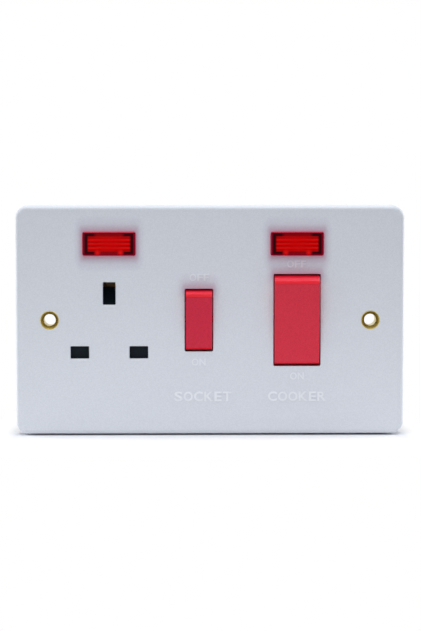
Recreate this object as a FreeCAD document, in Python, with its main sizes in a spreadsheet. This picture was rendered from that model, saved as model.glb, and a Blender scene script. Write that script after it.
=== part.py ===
import FreeCAD, Part
import Sketcher
import math
import os
import re

# Cooker control unit: a double plate with a double-pole cooker switch and a switched socket outlet.
# Millimetres. X runs to the right, Y into the wall and Z up, and the wall plane is Y = 0.

doc = FreeCAD.newDocument("cooker_control_unit")

SIZES = [
    ("plate_width", 146, "face plate, side to side"),
    ("plate_height", 86, "face plate, top to bottom"),
    ("plate_depth", 9, "face plate, wall to front face"),
    ("face_thickness", 2.6, "front wall of the plate"),
    ("rim_wall", 2.2, "side wall of the plate"),
    ("corner_radius", 4.5, "corners of the plate seen from the front"),
    ("edge_radius", 1.5, "rounding of the plate's front edge"),
    ("opening_corner", 0.6, "corners of the rocker openings"),
    ("slot_corner", 0.4, "corners of the pin slots"),
    ("slot_bevel", 0.3, "bevel of the pin slots' front edges"),
    ("fixing_inset", 12.7, "fixing hole centres in from the plate's sides"),
    ("bush_radius", 3.5, "barrel of a brass bush"),
    ("bush_tail", 3, "thin rear end of a bush"),
    ("bush_bore", 2.25, "radius of a fixing hole"),
    ("bush_rim", 3.3, "radius of the countersink at the front"),
    ("countersink_depth", 1.5, "countersink of a bush"),
    ("bush_fit", 0.05, "gap around a bush"),
    ("pillar_radius", 5, "pillar around a bush"),
    ("pillar_end", 1, "rear end of the pillar ahead of the wall"),
    ("tongue_gap", 0.1, "trunnion tongue from the cooker opening's side"),
    ("tongue_width", 1.6, "trunnion tongue, across"),
    ("tongue_half", 1.3, "half the height of a trunnion tongue"),
    ("upper_rib", 37.5, "upper stiffening rib above the middle"),
    ("lower_rib", 36, "lower stiffening rib below the middle"),
    ("rib_wall", 1.2, "stiffening rib, up"),
    ("rib_inset", 7, "ends of the ribs in from the plate's sides"),
    ("rib_back", 2.5, "back of the ribs ahead of the wall plane"),
    ("socket_inset", 35.1, "socket centre in from the plate's left side"),
    ("pin_spread", 11.1, "line and neutral slots either side of the earth slot"),
    ("pin_drop", 22.2, "earth slot above the line and neutral slots"),
    ("earth_height", 10, "earth slot above the middle"),
    ("slot_width", 7, "line and neutral slots, across"),
    ("slot_height", 4.8, "line and neutral slots, up"),
    ("earth_slot_width", 4.8, "earth slot, across"),
    ("earth_slot_height", 8.6, "earth slot, up"),
    ("lens_level", 28.7, "neon lenses above the middle"),
    ("lens_width", 20, "lens, across"),
    ("lens_height", 8.95, "lens, up"),
    ("lens_proud", 0.8, "lens ahead of the face"),
    ("lens_wall", 2, "lens side wall"),
    ("lens_roof", 1.7, "lens upper and lower walls"),
    ("lens_front", 1.3, "lens front wall"),
    ("lens_corner", 1, "lens corners"),
    ("lens_edge", 0.4, "rounding of the lens front edge"),
    ("lens_fit", 0.08, "gap around a lens"),
    ("flange_lip", 1.2, "lens flange past the body"),
    ("flange_thickness", 1.2, "lens flange"),
    ("rib_depth", 0.45, "grooves inside a lens"),
    ("rib_pitch", 1, "spacing of the grooves"),
    ("lamp_radius", 2.2, "neon capsule"),
    ("lamp_length", 11, "neon capsule"),
    ("lamp_depth", 5.2, "neon capsule ahead of the wall plane"),
    ("lamp_taper", 2.2, "narrowing end of the capsule"),
    ("lamp_tip", 0.9, "radius of the capsule's sealed tip"),
    ("lead_radius", 0.35, "neon wires"),
    ("lead_level", 27.1, "height of the neon wires"),
    ("lead_hole", 0.7, "holes for the neon wires"),
    ("lead_reach", 1.5, "far wire past the capsule"),
    ("lead_return", 1, "near wire past the capsule"),
    ("lead_knee", 1, "far wire's lower bend ahead of the wall plane"),
    ("lead_floor", 8.7, "long wires behind the wall plane"),
    ("lead_drop", 24, "line wire's bend above the middle"),
    ("line_joint_head", 10.5, "line wire's joint, upper end above the middle"),
    ("line_joint_foot", 7, "line wire's joint, lower end above the middle"),
    ("neutral_bend", 5, "neutral wire's bend below the middle"),
    ("neutral_joint", 8.4, "neutral wire's joint below the middle"),
    ("joint_start", 3, "neutral joint right of the neutral slot's middle"),
    ("joint_end", 1, "neutral joint left of the neutral slot's middle"),
    ("resistor_radius", 1, "resistor body"),
    ("resistor_length", 5, "resistor body"),
    ("resistor_start", 2.4, "resistor front ahead of the wall plane"),
    ("resistor_tail", 0.7, "straight wire ahead of the resistor"),
    ("cooker_inset", 40.3, "cooker switch centre in from the plate's right side"),
    ("cooker_opening_width", 17.8, "opening for the cooker rocker"),
    ("cooker_opening_height", 34.8, "opening for the cooker rocker"),
    ("cooker_pivot", 3.4, "cooker rocker axis ahead of the wall plane"),
    ("cooker_proud", 2.6, "cooker rocker ahead of the face, level"),
    ("cooker_trunnion", 1.5, "cooker rocker trunnion radius"),
    ("switch_offset", 4.2, "socket switch centre left of the middle"),
    ("switch_opening_width", 10.8, "opening for the socket rocker"),
    ("switch_opening_height", 23.7, "opening for the socket rocker"),
    ("switch_pivot", 5, "socket rocker axis ahead of the wall plane"),
    ("switch_proud", 2, "socket rocker ahead of the face, level"),
    ("switch_trunnion", 1.2, "socket rocker trunnion radius"),
    ("rocker_tilt", 8, "rocker angle when on"),
    ("rocker_gap", 0.4, "gap at each side of a rocker"),
    ("rocker_end_gap", 0.3, "gap at each end of a rocker"),
    ("rocker_wall", 1.6, "rocker side and end walls"),
    ("rocker_face", 2, "rocker front wall"),
    ("rocker_edge", 0.5, "rounding of the rocker's face"),
    ("skirt_drop", 1.4, "rocker skirt behind its axis"),
    ("trunnion_length", 1.9, "trunnion past the rocker's side"),
    ("trunnion_fit", 0.1, "gap around a trunnion"),
    ("bearing_reach", 1.8, "bearing notches past a rocker opening"),
    ("stalk_half", 2.3, "half the side of a plunger stalk"),
    ("stalk_gap", 3.2, "stalk end to see-saw, level"),
    ("plunger_radius", 1.5, "plunger"),
    ("plunger_fit", 0.1, "gap around a plunger"),
    ("plunger_length", 8, "plunger with its round tip"),
    ("plunger_gap", 0.08, "plunger tip to see-saw, level"),
    ("spring_radius", 1.15, "mean radius of the plunger springs"),
    ("spring_wire", 0.3, "spring wire, half its diagonal"),
    ("spring_seat", 0.6, "spring seat behind the rocker's front wall"),
    ("pole_offset", 4.5, "cooker poles either side of the centre"),
    ("contact_level", 5.7, "front of a level see-saw behind the wall plane"),
    ("contact_thickness", 2, "see-saw bar"),
    ("contact_width", 6, "see-saw bar"),
    ("contact_arm", 8.5, "moving tip above the fulcrum"),
    ("contact_overhang", 2.2, "bar past the moving tip"),
    ("contact_tail", 8.5, "bar below the fulcrum"),
    ("contact_tilt", 7, "see-saw angle when on"),
    ("contact_gap", 0.1, "closed tips apart"),
    ("fulcrum_drop", 0.3, "fulcrum axis behind the bar"),
    ("fulcrum_radius", 1, "fulcrum post's round nose"),
    ("fulcrum_fit", 0.1, "gap in the bar's groove"),
    ("post_margin", 0.4, "fulcrum post in from the bar's sides"),
    ("post_head", 2.5, "fulcrum strip above the fulcrum"),
    ("load_foot", 5, "load strip's lower end above the middle"),
    ("tip_radius", 1.8, "contact tips"),
    ("tip_height", 1, "contact tip on the bar"),
    ("tip_dome", 6, "dome radius of a moving tip"),
    ("strip_level", 10.5, "front of the brass strips behind the wall plane"),
    ("strip_thickness", 0.9, "brass strips"),
    ("line_foot", 2.8, "half the height of the line strip at its clip"),
    ("run_near", 7.8, "line strip's upright, right side from the socket switch"),
    ("run_far", 12.8, "line strip's upright, left side from the socket switch"),
    ("run_wire", 10.3, "line wire's joint from the socket switch"),
    ("arm_reach", 3, "line strip past the socket switch's middle"),
    ("arm_low", 5.5, "line strip's arm, lower edge above the middle"),
    ("arm_high", 10.6, "line strip's arm, upper edge above the middle"),
    ("neutral_foot", 24.5, "neutral strip's lower edge below the middle"),
    ("neutral_top", 20.5, "neutral strip's upper edge below the middle"),
    ("neutral_head", 4.7, "neutral strip above its clip's middle"),
    ("link_foot", 14, "line link's lower edge below the middle"),
    ("link_head", 10, "line link's upper edge below the middle"),
    ("link_rise", 2.3, "line link ahead of the strips"),
    ("link_pad", 3.2, "line link's feet"),
    ("link_margin", 2.5, "line link past the poles' middles"),
    ("clip_gap", 1.95, "half the pin clip's opening"),
    ("clip_leaf", 0.8, "pin clip leaf"),
    ("clip_half", 3.2, "half the width of a line or neutral clip"),
    ("clip_start", 1.5, "front of the clips behind the wall plane"),
    ("clip_flare", 0.4, "leaves spread at the mouth"),
    ("clip_mouth", 2.2, "depth of the spread mouth"),
    ("earth_clip_start", 2.5, "front of the earth clip behind the wall plane"),
    ("earth_clip_end", 14.3, "earth clip, front of its web"),
    ("earth_clip_low", 4.1, "earth clip below the slot's middle"),
    ("earth_clip_high", 3.8, "earth clip above the slot's middle"),
    ("block_offset", 9, "cooker terminals either side of the centre"),
    ("block_width", 9.6, "terminal block"),
    ("block_low", 16.9, "terminal block, inner end"),
    ("block_high", 28, "terminal block, wire end"),
    ("block_front", 9.5, "terminal block front behind the wall plane"),
    ("block_back", 19.5, "terminal block back behind the wall plane"),
    ("wire_depth", 13.5, "wire bore behind the wall plane"),
    ("wire_radius", 2.9, "wire bore"),
    ("wire_length", 8, "wire bore"),
    ("clamp_level", 22.5, "terminal screws above or below the middle"),
    ("clamp_radius", 1.95, "terminal screw thread"),
    ("clamp_head", 2.7, "terminal screw head"),
    ("clamp_thick", 2, "terminal screw head, along Y"),
    ("clamp_end_gap", 0.1, "terminal screw's end past the wire bore"),
    ("thread_fit", 0.05, "gap around a screw's thread"),
    ("case_left_inset", 18.5, "carrier and cover in from the plate's left side"),
    ("case_right_inset", 20, "carrier and cover in from the plate's right side"),
    ("case_height", 29.5, "carrier and cover above and below the middle"),
    ("carrier_top", 21.5, "front part of the carrier above the middle"),
    ("carrier_step", 3, "front of the carrier's flange behind the wall plane"),
    ("carrier_back", 8, "joint of carrier and cover behind the wall plane"),
    ("case_corner", 2, "corners of carrier and cover"),
    ("well_half", 3.4, "half the height of the line and neutral wells"),
    ("well_gap", 0.6, "wells past the clips and bars at each side"),
    ("earth_well_half", 3.6, "half the width of the earth clip's well"),
    ("earth_well_reach", 5, "earth clip's well above and below the slot's middle"),
    ("chamber_gap", 0.35, "rocker chambers past the openings"),
    ("chamber_floor", 1.2, "cooker chamber's floor behind the wall plane"),
    ("pole_reach", 13, "half the height of the pole wells"),
    ("cover_wall", 1.8, "cover walls"),
    ("cover_back", 13.4, "back of the cover behind the wall plane"),
    ("housing_margin", 1.6, "housing walls beside the terminals"),
    ("housing_inner", 2.4, "housings past the terminals' inner ends"),
    ("housing_corner", 1, "corners of the housings"),
    ("earth_housing_half", 6.6, "half the width of the earth housing"),
    ("earth_housing_low", 6.4, "earth housing below the slot's middle"),
    ("pocket_gap", 0.3, "gap around a terminal"),
    ("pocket_end_gap", 0.2, "gap behind a terminal's wire end"),
    ("clip_room_half", 4, "half the width of the earth clip's room"),
    ("housing_back", 22, "back of the terminal housings behind the wall plane"),
    ("pocket_back", 20, "terminal pockets behind the wall plane"),
    ("window_radius", 3.6, "wire windows in the cover"),
    ("access_radius", 3, "screwdriver holes in the cover"),
    ("boss_radius", 3, "screw bosses of the plate"),
    ("boss_end", 0.4, "end of the bosses ahead of the wall plane"),
    ("boss_fit", 0.3, "gap around a boss"),
    ("screw_radius", 1.4, "assembly screw"),
    ("screw_head", 2.8, "assembly screw head"),
    ("screw_thick", 1.7, "assembly screw head, along Y"),
    ("screw_end", 5, "assembly screw end ahead of the wall plane"),
    ("screw_end_gap", 0.6, "screw hole past the screw's end"),
    ("screw_clearance", 0.3, "gap around a screw in carrier and cover"),
    ("groove_depth", 0.8, "screwdriver slots"),
    ("groove_half", 0.45, "half the width of the screwdriver slots"),
    ("left_screw_inset", 24, "left assembly screw in from the plate's side"),
    ("right_screw_inset", 24.7, "right assembly screw in from the plate's side"),
    ("left_screw_level", 6, "left assembly screw above the middle"),
    ("upper_screw_level", 14, "upper middle screw above the middle"),
    ("lower_screw_level", 17.2, "lower middle screw below the middle"),
    ("shutter_half", 15.2, "half the width of the shutter's crossbar"),
    ("shutter_top", 9, "top of the crossbar below the middle"),
    ("shutter_foot", 15.6, "foot of the crossbar below the middle"),
    ("shutter_front", 6.1, "shutter front ahead of the wall plane"),
    ("shutter_back", 4.3, "shutter back ahead of the wall plane"),
    ("shutter_travel", 6.3, "shutter stroke"),
    ("bed_depth", 4, "shutter bed ahead of the wall plane"),
    ("bed_gap", 0.3, "gap at each side of the shutter"),
    ("bed_end_gap", 0.6, "gap above and below the shutter's stroke"),
    ("bed_head", 6, "shutter bed above the earth slot's middle"),
    ("stem_margin", 0.5, "shutter stem past its ramp at each side"),
    ("ramp_room", 2, "ramp slot below the ramp's stroke"),
    ("ramp_slot_back", 1, "back of the ramp slot behind the wall plane"),
    ("ramp_half", 3, "half the width of the shutter's ramp"),
    ("ramp_foot", 5.4, "ramp foot above the middle"),
    ("ramp_rise", 6.6, "ramp height and depth"),
    ("ramp_web", 2.4, "ramp, upward thickness"),
    ("ramp_root", 2.6, "ramp's root below its foot"),
    ("ramp_under", 0.8, "underside's start below the ramp's foot"),
    ("coil_radius", 1.4, "mean radius of the shutter spring"),
    ("coil_depth", 4.2, "shutter spring axis ahead of the wall plane"),
    ("coil_seat", 27.2, "shutter spring seat below the middle"),
    ("coil_half", 2.4, "half the width of the spring's groove"),
    ("coil_room", 2.2, "spring's groove behind its axis"),
    ("coil_head", 3.2, "spring's groove below the crossbar's top"),
    ("foot_half", 2, "half the width of the shutter's foot"),
    ("foot_height", 2.4, "shutter's foot, up"),
    ("foot_back", 1.8, "shutter's foot behind the spring's axis"),
    ("peg_radius", 0.8, "spring peg"),
    ("peg_length", 2.6, "spring peg below the foot"),
    ("strap_low", 16.5, "earth strap's arm above the middle"),
    ("strap_high", 21, "earth strap's arm above the middle"),
    ("strap_ring", 5.4, "earth strap's ring"),
    ("strap_arm", 2, "half the width of the strap's upright"),
    ("strap_root", 3, "strap's upright from the bush's middle"),
    ("strap_back", 0.1, "back of the strap's ring ahead of the wall plane"),
    ("strap_gap", 0.8, "strap from the carrier's side"),
    ("strap_room", 0.2, "gap around the strap in the cover"),
    ("overlap", 0.5, "how far joined forms run into each other"),
    ("past", 1, "how far cuts run past a form"),
]

sheet = doc.addObject("Spreadsheet::Sheet", "Sizes")
for row, (alias, value, meaning) in enumerate(SIZES, start=1):
    sheet.set(f"A{row}", str(value))
    sheet.setAlias(f"A{row}", alias)
    sheet.set(f"B{row}", meaning)
doc.recompute()

NAMES = re.compile(r"\b(" + "|".join(alias for alias, value, meaning in SIZES) + r")\b")

# Places that several pieces share, as formulas of the sizes.
FRONT = "(-plate_depth)"
INNER = "(face_thickness - plate_depth)"
FIXING_X = "(plate_width / 2 - fixing_inset)"
SOCKET_X = "(socket_inset - plate_width / 2)"
LINE_X = f"({SOCKET_X} + pin_spread)"
NEUTRAL_X = f"({SOCKET_X} - pin_spread)"
PIN_Z = "(earth_height - pin_drop)"
SWITCH_X = "(-switch_offset)"
COOKER_X = "(plate_width / 2 - cooker_inset)"
LINE_POLE = f"({COOKER_X} + pole_offset)"
NEUTRAL_POLE = f"({COOKER_X} - pole_offset)"
LINE_BLOCK = f"({COOKER_X} + block_offset)"
NEUTRAL_BLOCK = f"({COOKER_X} - block_offset)"
CASE_LEFT = "(case_left_inset - plate_width / 2)"
CASE_RIGHT = "(plate_width / 2 - case_right_inset)"
FULCRUM = "(contact_level + contact_thickness + fulcrum_drop)"
FLOOR = "(strip_level + strip_thickness)"
SWITCH_SIDE = f"({SWITCH_X} + switch_opening_width / 2 + bearing_reach)"
BLOCK_SIDE = f"({NEUTRAL_BLOCK} - block_width / 2)"
MIDDLE_X = f"(({SWITCH_SIDE} + {BLOCK_SIDE}) / 2)"
SCREWS = [
    ("(left_screw_inset - plate_width / 2)", "left_screw_level"),
    (MIDDLE_X, "upper_screw_level"),
    (MIDDLE_X, "(-lower_screw_level)"),
    ("(plate_width / 2 - right_screw_inset)", "0"),
]

# The same centres as numbers, for choosing edges and bending wires.
socket_centre = sheet.socket_inset - sheet.plate_width / 2
cooker_centre = sheet.plate_width / 2 - sheet.cooker_inset
switch_centre = -sheet.switch_offset

PLANES = {"XZ": ("XZ_Plane", -1), "YZ": ("YZ_Plane", 1), "XY": ("XY_Plane", 1)}
FINISHED = []


def formula(text):
    """Point every size name in a formula at its cell of the sheet."""
    return NAMES.sub(lambda found: "Sizes." + found.group(0), str(text))


def bind(thing, prop, text):
    thing.setExpression(prop, formula(text))


def rect(u_low, u_high, v_low, v_high):
    return [(u_low, v_low), (u_high, v_low), (u_high, v_high), (u_low, v_high)]


def about(u, half_u, v, half_v):
    return rect(f"{u} - ({half_u})", f"{u} + ({half_u})", f"{v} - ({half_v})", f"{v} + ({half_v})")


def pin(sketch, geometry, point, u, v, rough):
    """Hold a sketch point at the place its two formulas give."""
    for kind, text, value in (("DistanceX", u, rough.x), ("DistanceY", v, rough.y)):
        index = sketch.addConstraint(Sketcher.Constraint(kind, -1, 1, geometry, point, value))
        sketch.setExpression(f"Constraints[{index}]", formula(text))


def draw_polygon(sketch, points):
    first = sketch.GeometryCount
    count = len(points)
    rough = []
    for i in range(count):
        turn = 2 * math.pi * i / count
        rough.append(FreeCAD.Vector(10 * math.cos(turn), 10 * math.sin(turn), 0))
    for i in range(count):
        sketch.addGeometry(Part.LineSegment(rough[i], rough[(i + 1) % count]), False)
    for i in range(count):
        sketch.addConstraint(Sketcher.Constraint("Coincident", first + i, 2, first + (i + 1) % count, 1))
    for i, (u, v) in enumerate(points):
        pin(sketch, first + i, 1, u, v, rough[i])


def draw_disc(sketch, u, v, radius):
    centre = FreeCAD.Vector(1, 1, 0)
    circle = sketch.addGeometry(Part.Circle(centre, FreeCAD.Vector(0, 0, 1), 3), False)
    pin(sketch, circle, 3, u, v, centre)
    index = sketch.addConstraint(Sketcher.Constraint("Radius", circle, 3))
    sketch.setExpression(f"Constraints[{index}]", formula(radius))


def draw_rocker(sketch, axis, radius, front, back):
    """Two flat faces joined by arcs about the rocker's axis, so its ends clear the opening."""
    centre = FreeCAD.Vector(-4, 0, 0)
    circle = Part.Circle(centre, FreeCAD.Vector(0, 0, 1), 14)
    near = math.acos(2 / 14)
    far = math.pi - math.acos(7 / 14)
    upper = sketch.addGeometry(Part.ArcOfCircle(circle, near, far), False)
    start = circle.value(far)
    end = circle.value(-far)
    face = sketch.addGeometry(Part.LineSegment(start, end), False)
    lower = sketch.addGeometry(Part.ArcOfCircle(circle, -far, -near), False)
    rear = sketch.addGeometry(Part.LineSegment(circle.value(-near), circle.value(near)), False)
    for one, other in ((upper, face), (face, lower), (lower, rear), (rear, upper)):
        sketch.addConstraint(Sketcher.Constraint("Coincident", one, 2, other, 1))
    for arc in (upper, lower):
        pin(sketch, arc, 3, axis, "0", centre)
        index = sketch.addConstraint(Sketcher.Constraint("Radius", arc, 14))
        sketch.setExpression(f"Constraints[{index}]", formula(radius))
    for line, place, value in ((face, front, start.x), (rear, back, -2)):
        sketch.addConstraint(Sketcher.Constraint("Vertical", line))
        index = sketch.addConstraint(Sketcher.Constraint("DistanceX", -1, 1, line, 1, value))
        sketch.setExpression(f"Constraints[{index}]", formula(place))


class Piece:
    """A sub-part built as one body, with its sketches on the body's own planes."""

    def __init__(self, label):
        self.label = label
        self.body = doc.addObject("PartDesign::Body", label)
        self.body.Label = label
        self.count = 0
        FINISHED.append(self.body)

    def sketch(self, plane, place):
        role, direction = PLANES[plane]
        self.count += 1
        sketch = self.body.newObject("Sketcher::SketchObject", f"{self.label}_sketch_{self.count}")
        support = [feature for feature in self.body.Origin.OriginFeatures if feature.Role == role][0]
        sketch.AttachmentSupport = [(support, "")]
        sketch.MapMode = "FlatFace"
        bind(sketch, "AttachmentOffset.Base.z", f"{direction} * ({place})")
        return sketch

    def outline(self, plane, place, loops):
        sketch = self.sketch(plane, place)
        for loop in loops:
            if isinstance(loop, tuple):
                draw_disc(sketch, *loop)
            else:
                draw_polygon(sketch, loop)
        return sketch

    def feature(self, kind, sketch, low, high):
        feature = self.body.newObject(f"PartDesign::{kind}", f"{self.label}_{kind}_{self.count}")
        feature.Profile = sketch
        bind(feature, "Length", f"({high}) - ({low})")
        sketch.Visibility = False
        return feature

    def pad(self, plane, low, high, *loops):
        """Material between two places along the plane's normal."""
        start = low if PLANES[plane][1] > 0 else high
        return self.feature("Pad", self.outline(plane, start, loops), low, high)

    def cut(self, plane, low, high, *loops):
        """An opening between two places along the plane's normal."""
        start = high if PLANES[plane][1] > 0 else low
        return self.feature("Pocket", self.outline(plane, start, loops), low, high)

    def rocker(self, kind, axis, radius, front, back, low, high):
        sketch = self.sketch("YZ", low if kind == "Pad" else high)
        draw_rocker(sketch, axis, radius, front, back)
        return self.feature(kind, sketch, low, high)

    def edges(self, kind, prop, size, chosen):
        """Round or bevel the edges that the test picks."""
        doc.recompute()
        tip = self.body.Tip
        names = [f"Edge{i}" for i, edge in enumerate(tip.Shape.Edges, start=1) if chosen(edge)]
        feature = self.body.newObject(f"PartDesign::{kind}", f"{self.label}_{kind}_{self.count}")
        feature.Base = (tip, names)
        bind(feature, prop, size)
        return feature

    def round(self, size, chosen):
        return self.edges("Fillet", "Radius", size, chosen)

    def bevel(self, size, chosen):
        return self.edges("Chamfer", "Size", size, chosen)


def tilt(thing, axis_y, angle):
    """Turn a finished piece about the X-wise axis at Z = 0 that it rocks on."""
    bind(thing, "Placement.Rotation.Axis.x", "1")
    bind(thing, "Placement.Rotation.Axis.y", "0")
    bind(thing, "Placement.Rotation.Axis.z", "0")
    bind(thing, "Placement.Rotation.Angle", angle)
    bind(thing, "Placement.Base.y", f"({axis_y}) * (1 - cos({angle}))")
    bind(thing, "Placement.Base.z", f"-({axis_y}) * sin({angle})")


def named(thing, label):
    thing.Label = label
    FINISHED.append(thing)
    return thing


TURNS = {"X": (0, 1, 0, 90), "Y": (1, 0, 0, -90), "Z": (0, 0, 1, 0)}


def lay(thing, axis, centre):
    """Put a round form's first end at the given centre, pointing along X, Y or Z."""
    x, y, z, angle = TURNS[axis]
    rotation = FreeCAD.Rotation(FreeCAD.Vector(x, y, z), angle)
    thing.Placement = FreeCAD.Placement(FreeCAD.Vector(0, 0, 0), rotation)
    for letter, text in zip("xyz", centre):
        bind(thing, f"Placement.Base.{letter}", text)


def rod(name, axis, centre, radius, length):
    cylinder = doc.addObject("Part::Cylinder", name)
    bind(cylinder, "Radius", radius)
    bind(cylinder, "Height", length)
    lay(cylinder, axis, centre)
    return cylinder


def taper(name, axis, centre, first_radius, last_radius, length):
    cone = doc.addObject("Part::Cone", name)
    bind(cone, "Radius1", first_radius)
    bind(cone, "Radius2", last_radius)
    bind(cone, "Height", length)
    lay(cone, axis, centre)
    return cone


def ball(name, centre, radius):
    sphere = doc.addObject("Part::Sphere", name)
    bind(sphere, "Radius", radius)
    for letter, text in zip("xyz", centre):
        bind(sphere, f"Placement.Base.{letter}", text)
    return sphere


def block(name, x_low, x_high, y_low, y_high, z_low, z_high):
    box = doc.addObject("Part::Box", name)
    bind(box, "Length", f"({x_high}) - ({x_low})")
    bind(box, "Width", f"({y_high}) - ({y_low})")
    bind(box, "Height", f"({z_high}) - ({z_low})")
    for letter, text in zip("xyz", (x_low, y_low, z_low)):
        bind(box, f"Placement.Base.{letter}", text)
    return box


def fuse(name, *shapes):
    joined = doc.addObject("Part::MultiFuse", name)
    joined.Shapes = list(shapes)
    return joined


def minus(name, base, tool):
    result = doc.addObject("Part::Cut", name)
    result.Base = base
    result.Tool = tool
    return result


def group(name, *members):
    compound = doc.addObject("Part::Compound", name)
    compound.Links = list(members)
    return compound


def runs_along_y(edge):
    return edge.Curve.TypeId == "Part::GeomLine" and abs(edge.tangentAt(edge.FirstParameter).y) > 0.999


def make_face_plate():
    """White moulding: front wall and rim, openings, bush pillars, screw bosses, tongues and ribs."""
    plate = Piece("face_plate")
    half_width = "plate_width / 2"
    half_height = "plate_height / 2"
    plate.pad("XZ", FRONT, "0", about("0", half_width, "0", half_height))
    plate.round("corner_radius", runs_along_y)
    plate.round("edge_radius", is_on_front)
    inside = about("0", f"{half_width} - rim_wall", "0", f"{half_height} - rim_wall")
    plate.cut("XZ", INNER, "0", inside)
    inner_corner = sheet.plate_width / 2 - sheet.rim_wall
    plate.round("corner_radius - rim_wall",
                lambda edge: runs_along_y(edge) and abs(abs(edge.BoundBox.XMax) - inner_corner) < 0.01)
    root = f"{INNER} - overlap"
    long = f"({half_width} - rib_inset)"
    ribs = [about("0", long, level, "rib_wall / 2") for level in ("upper_rib", "(-lower_rib)")]
    plate.pad("XZ", root, "-rib_back", *ribs)
    pillars = [(FIXING_X, "0", "pillar_radius"), (f"-{FIXING_X}", "0", "pillar_radius")]
    plate.pad("XZ", root, "-pillar_end", *pillars)
    plate.pad("XZ", root, "-boss_end", *[(x, z, "boss_radius") for x, z in SCREWS])
    near = "(cooker_opening_width / 2 + tongue_gap)"
    far = f"({near} + tongue_width)"
    right = rect(f"{COOKER_X} + {near}", f"{COOKER_X} + {far}", "-tongue_half", "tongue_half")
    left = rect(f"{COOKER_X} - {far}", f"{COOKER_X} - {near}", "-tongue_half", "tongue_half")
    plate.pad("XZ", root, "-cooker_pivot - cooker_trunnion - trunnion_fit", right, left)
    before = f"{FRONT} - past"
    through = f"{INNER} + overlap"
    earth = about(SOCKET_X, "earth_slot_width / 2", "earth_height", "earth_slot_height / 2")
    line = about(LINE_X, "slot_width / 2", PIN_Z, "slot_height / 2")
    neutral = about(NEUTRAL_X, "slot_width / 2", PIN_Z, "slot_height / 2")
    plate.cut("XZ", before, through, earth, line, neutral)
    plate.round("slot_corner", lambda edge: runs_along_y(edge) and in_socket(edge))
    plate.bevel("slot_bevel", lambda edge: is_on_front(edge) and in_socket(edge))
    cooker = about(COOKER_X, "cooker_opening_width / 2", "0", "cooker_opening_height / 2")
    switch = about(SWITCH_X, "switch_opening_width / 2", "0", "switch_opening_height / 2")
    plate.cut("XZ", before, through, cooker, switch)
    plate.round("opening_corner", lambda edge: runs_along_y(edge) and in_switch(edge))
    wide = "lens_width / 2 + lens_fit"
    tall = "lens_height / 2 + lens_fit"
    windows = [about(x, wide, "lens_level", tall) for x in (SOCKET_X, COOKER_X)]
    plate.cut("XZ", before, through, *windows)
    plate.round("lens_corner", lambda edge: runs_along_y(edge) and in_window(edge))
    bush = "bush_radius + bush_fit"
    plate.cut("XZ", before, "0", (FIXING_X, "0", bush), (f"-{FIXING_X}", "0", bush))
    hole = "screw_radius + thread_fit"
    plate.cut("XZ", "-screw_end - screw_end_gap", "0", *[(x, z, hole) for x, z in SCREWS])


def is_on_front(edge):
    return edge.BoundBox.YMax < -sheet.plate_depth + 0.01


def is_front_wall(edge):
    return edge.BoundBox.YMax < sheet.face_thickness - sheet.plate_depth + 0.01


def in_socket(edge):
    """Edges of the three pin slots."""
    centre = edge.BoundBox.Center
    across = abs(centre.x - socket_centre) < sheet.pin_spread + sheet.slot_width / 2 + 0.1
    low = sheet.earth_height - sheet.pin_drop - sheet.slot_height / 2 - 0.1
    up = low < centre.z < sheet.earth_height + sheet.earth_slot_height / 2 + 0.1
    return across and up and is_front_wall(edge)


def in_switch(edge):
    """Edges of the two rocker openings."""
    centre = edge.BoundBox.Center
    cooker = abs(centre.x - cooker_centre) < sheet.cooker_opening_width / 2 + 0.1
    switch = abs(centre.x - switch_centre) < sheet.switch_opening_width / 2 + 0.1
    up = abs(centre.z) < sheet.cooker_opening_height / 2 + 0.1
    return (cooker or switch) and up and is_front_wall(edge)


def in_window(edge):
    """Edges of the two lens windows."""
    up = abs(edge.BoundBox.Center.z - sheet.lens_level) < sheet.lens_height / 2 + 0.2
    return up and is_front_wall(edge)


def make_bush(label, x):
    """Turned brass bush: countersunk at the front, stepped down at the back."""
    barrel = rod(f"{label}_barrel", "Y", (x, FRONT, "0"), "bush_radius", "plate_depth - pillar_end")
    tail = rod(f"{label}_tail", "Y", (x, "-pillar_end - past", "0"), "bush_tail", "pillar_end + past")
    bore = rod(f"{label}_bore", "Y", (x, f"{FRONT} - past", "0"), "bush_bore", "plate_depth + 2 * past")
    sink = taper(f"{label}_sink", "Y", (x, FRONT, "0"), "bush_rim", "bush_bore", "countersink_depth")
    solid = fuse(f"{label}_solid", barrel, tail)
    hollow = fuse(f"{label}_hollow", bore, sink)
    named(minus(label, solid, hollow), label)


def make_lens(label, x):
    """Clear red moulding: body through the window, flange behind the plate, skirt, grooves inside."""
    lens = Piece(label)
    face = f"{FRONT} - lens_proud"
    body = about(x, "lens_width / 2", "lens_level", "lens_height / 2")
    lens.pad("XZ", face, "carrier_step", body)
    lens.round("lens_corner", runs_along_y)
    front = -sheet.plate_depth - sheet.lens_proud + 0.01
    lens.round("lens_edge", lambda edge: edge.BoundBox.YMax < front)
    flange = about(x, "lens_width / 2 + flange_lip", "lens_level", "lens_height / 2 + flange_lip")
    lens.pad("XZ", INNER, f"{INNER} + flange_thickness", flange)
    cavity = about(x, "lens_width / 2 - lens_wall", "lens_level", "lens_height / 2 - lens_roof")
    floor = f"{face} + lens_front"
    lens.cut("XZ", floor, "carrier_step + past", cavity)
    grooves = []
    for i in range(-2, 3):
        middle = f"lens_level + {i} * rib_pitch"
        low = f"{middle} - 0.4 * rib_pitch"
        high = f"{middle} + 0.4 * rib_pitch"
        behind = f"{floor} + rib_depth / 2"
        grooves.append([(behind, low), (behind, high), (f"{floor} - rib_depth", middle)])
    lens.cut("YZ", f"{x} - lens_width / 2 + lens_wall", f"{x} + lens_width / 2 - lens_wall", *grooves)


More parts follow.
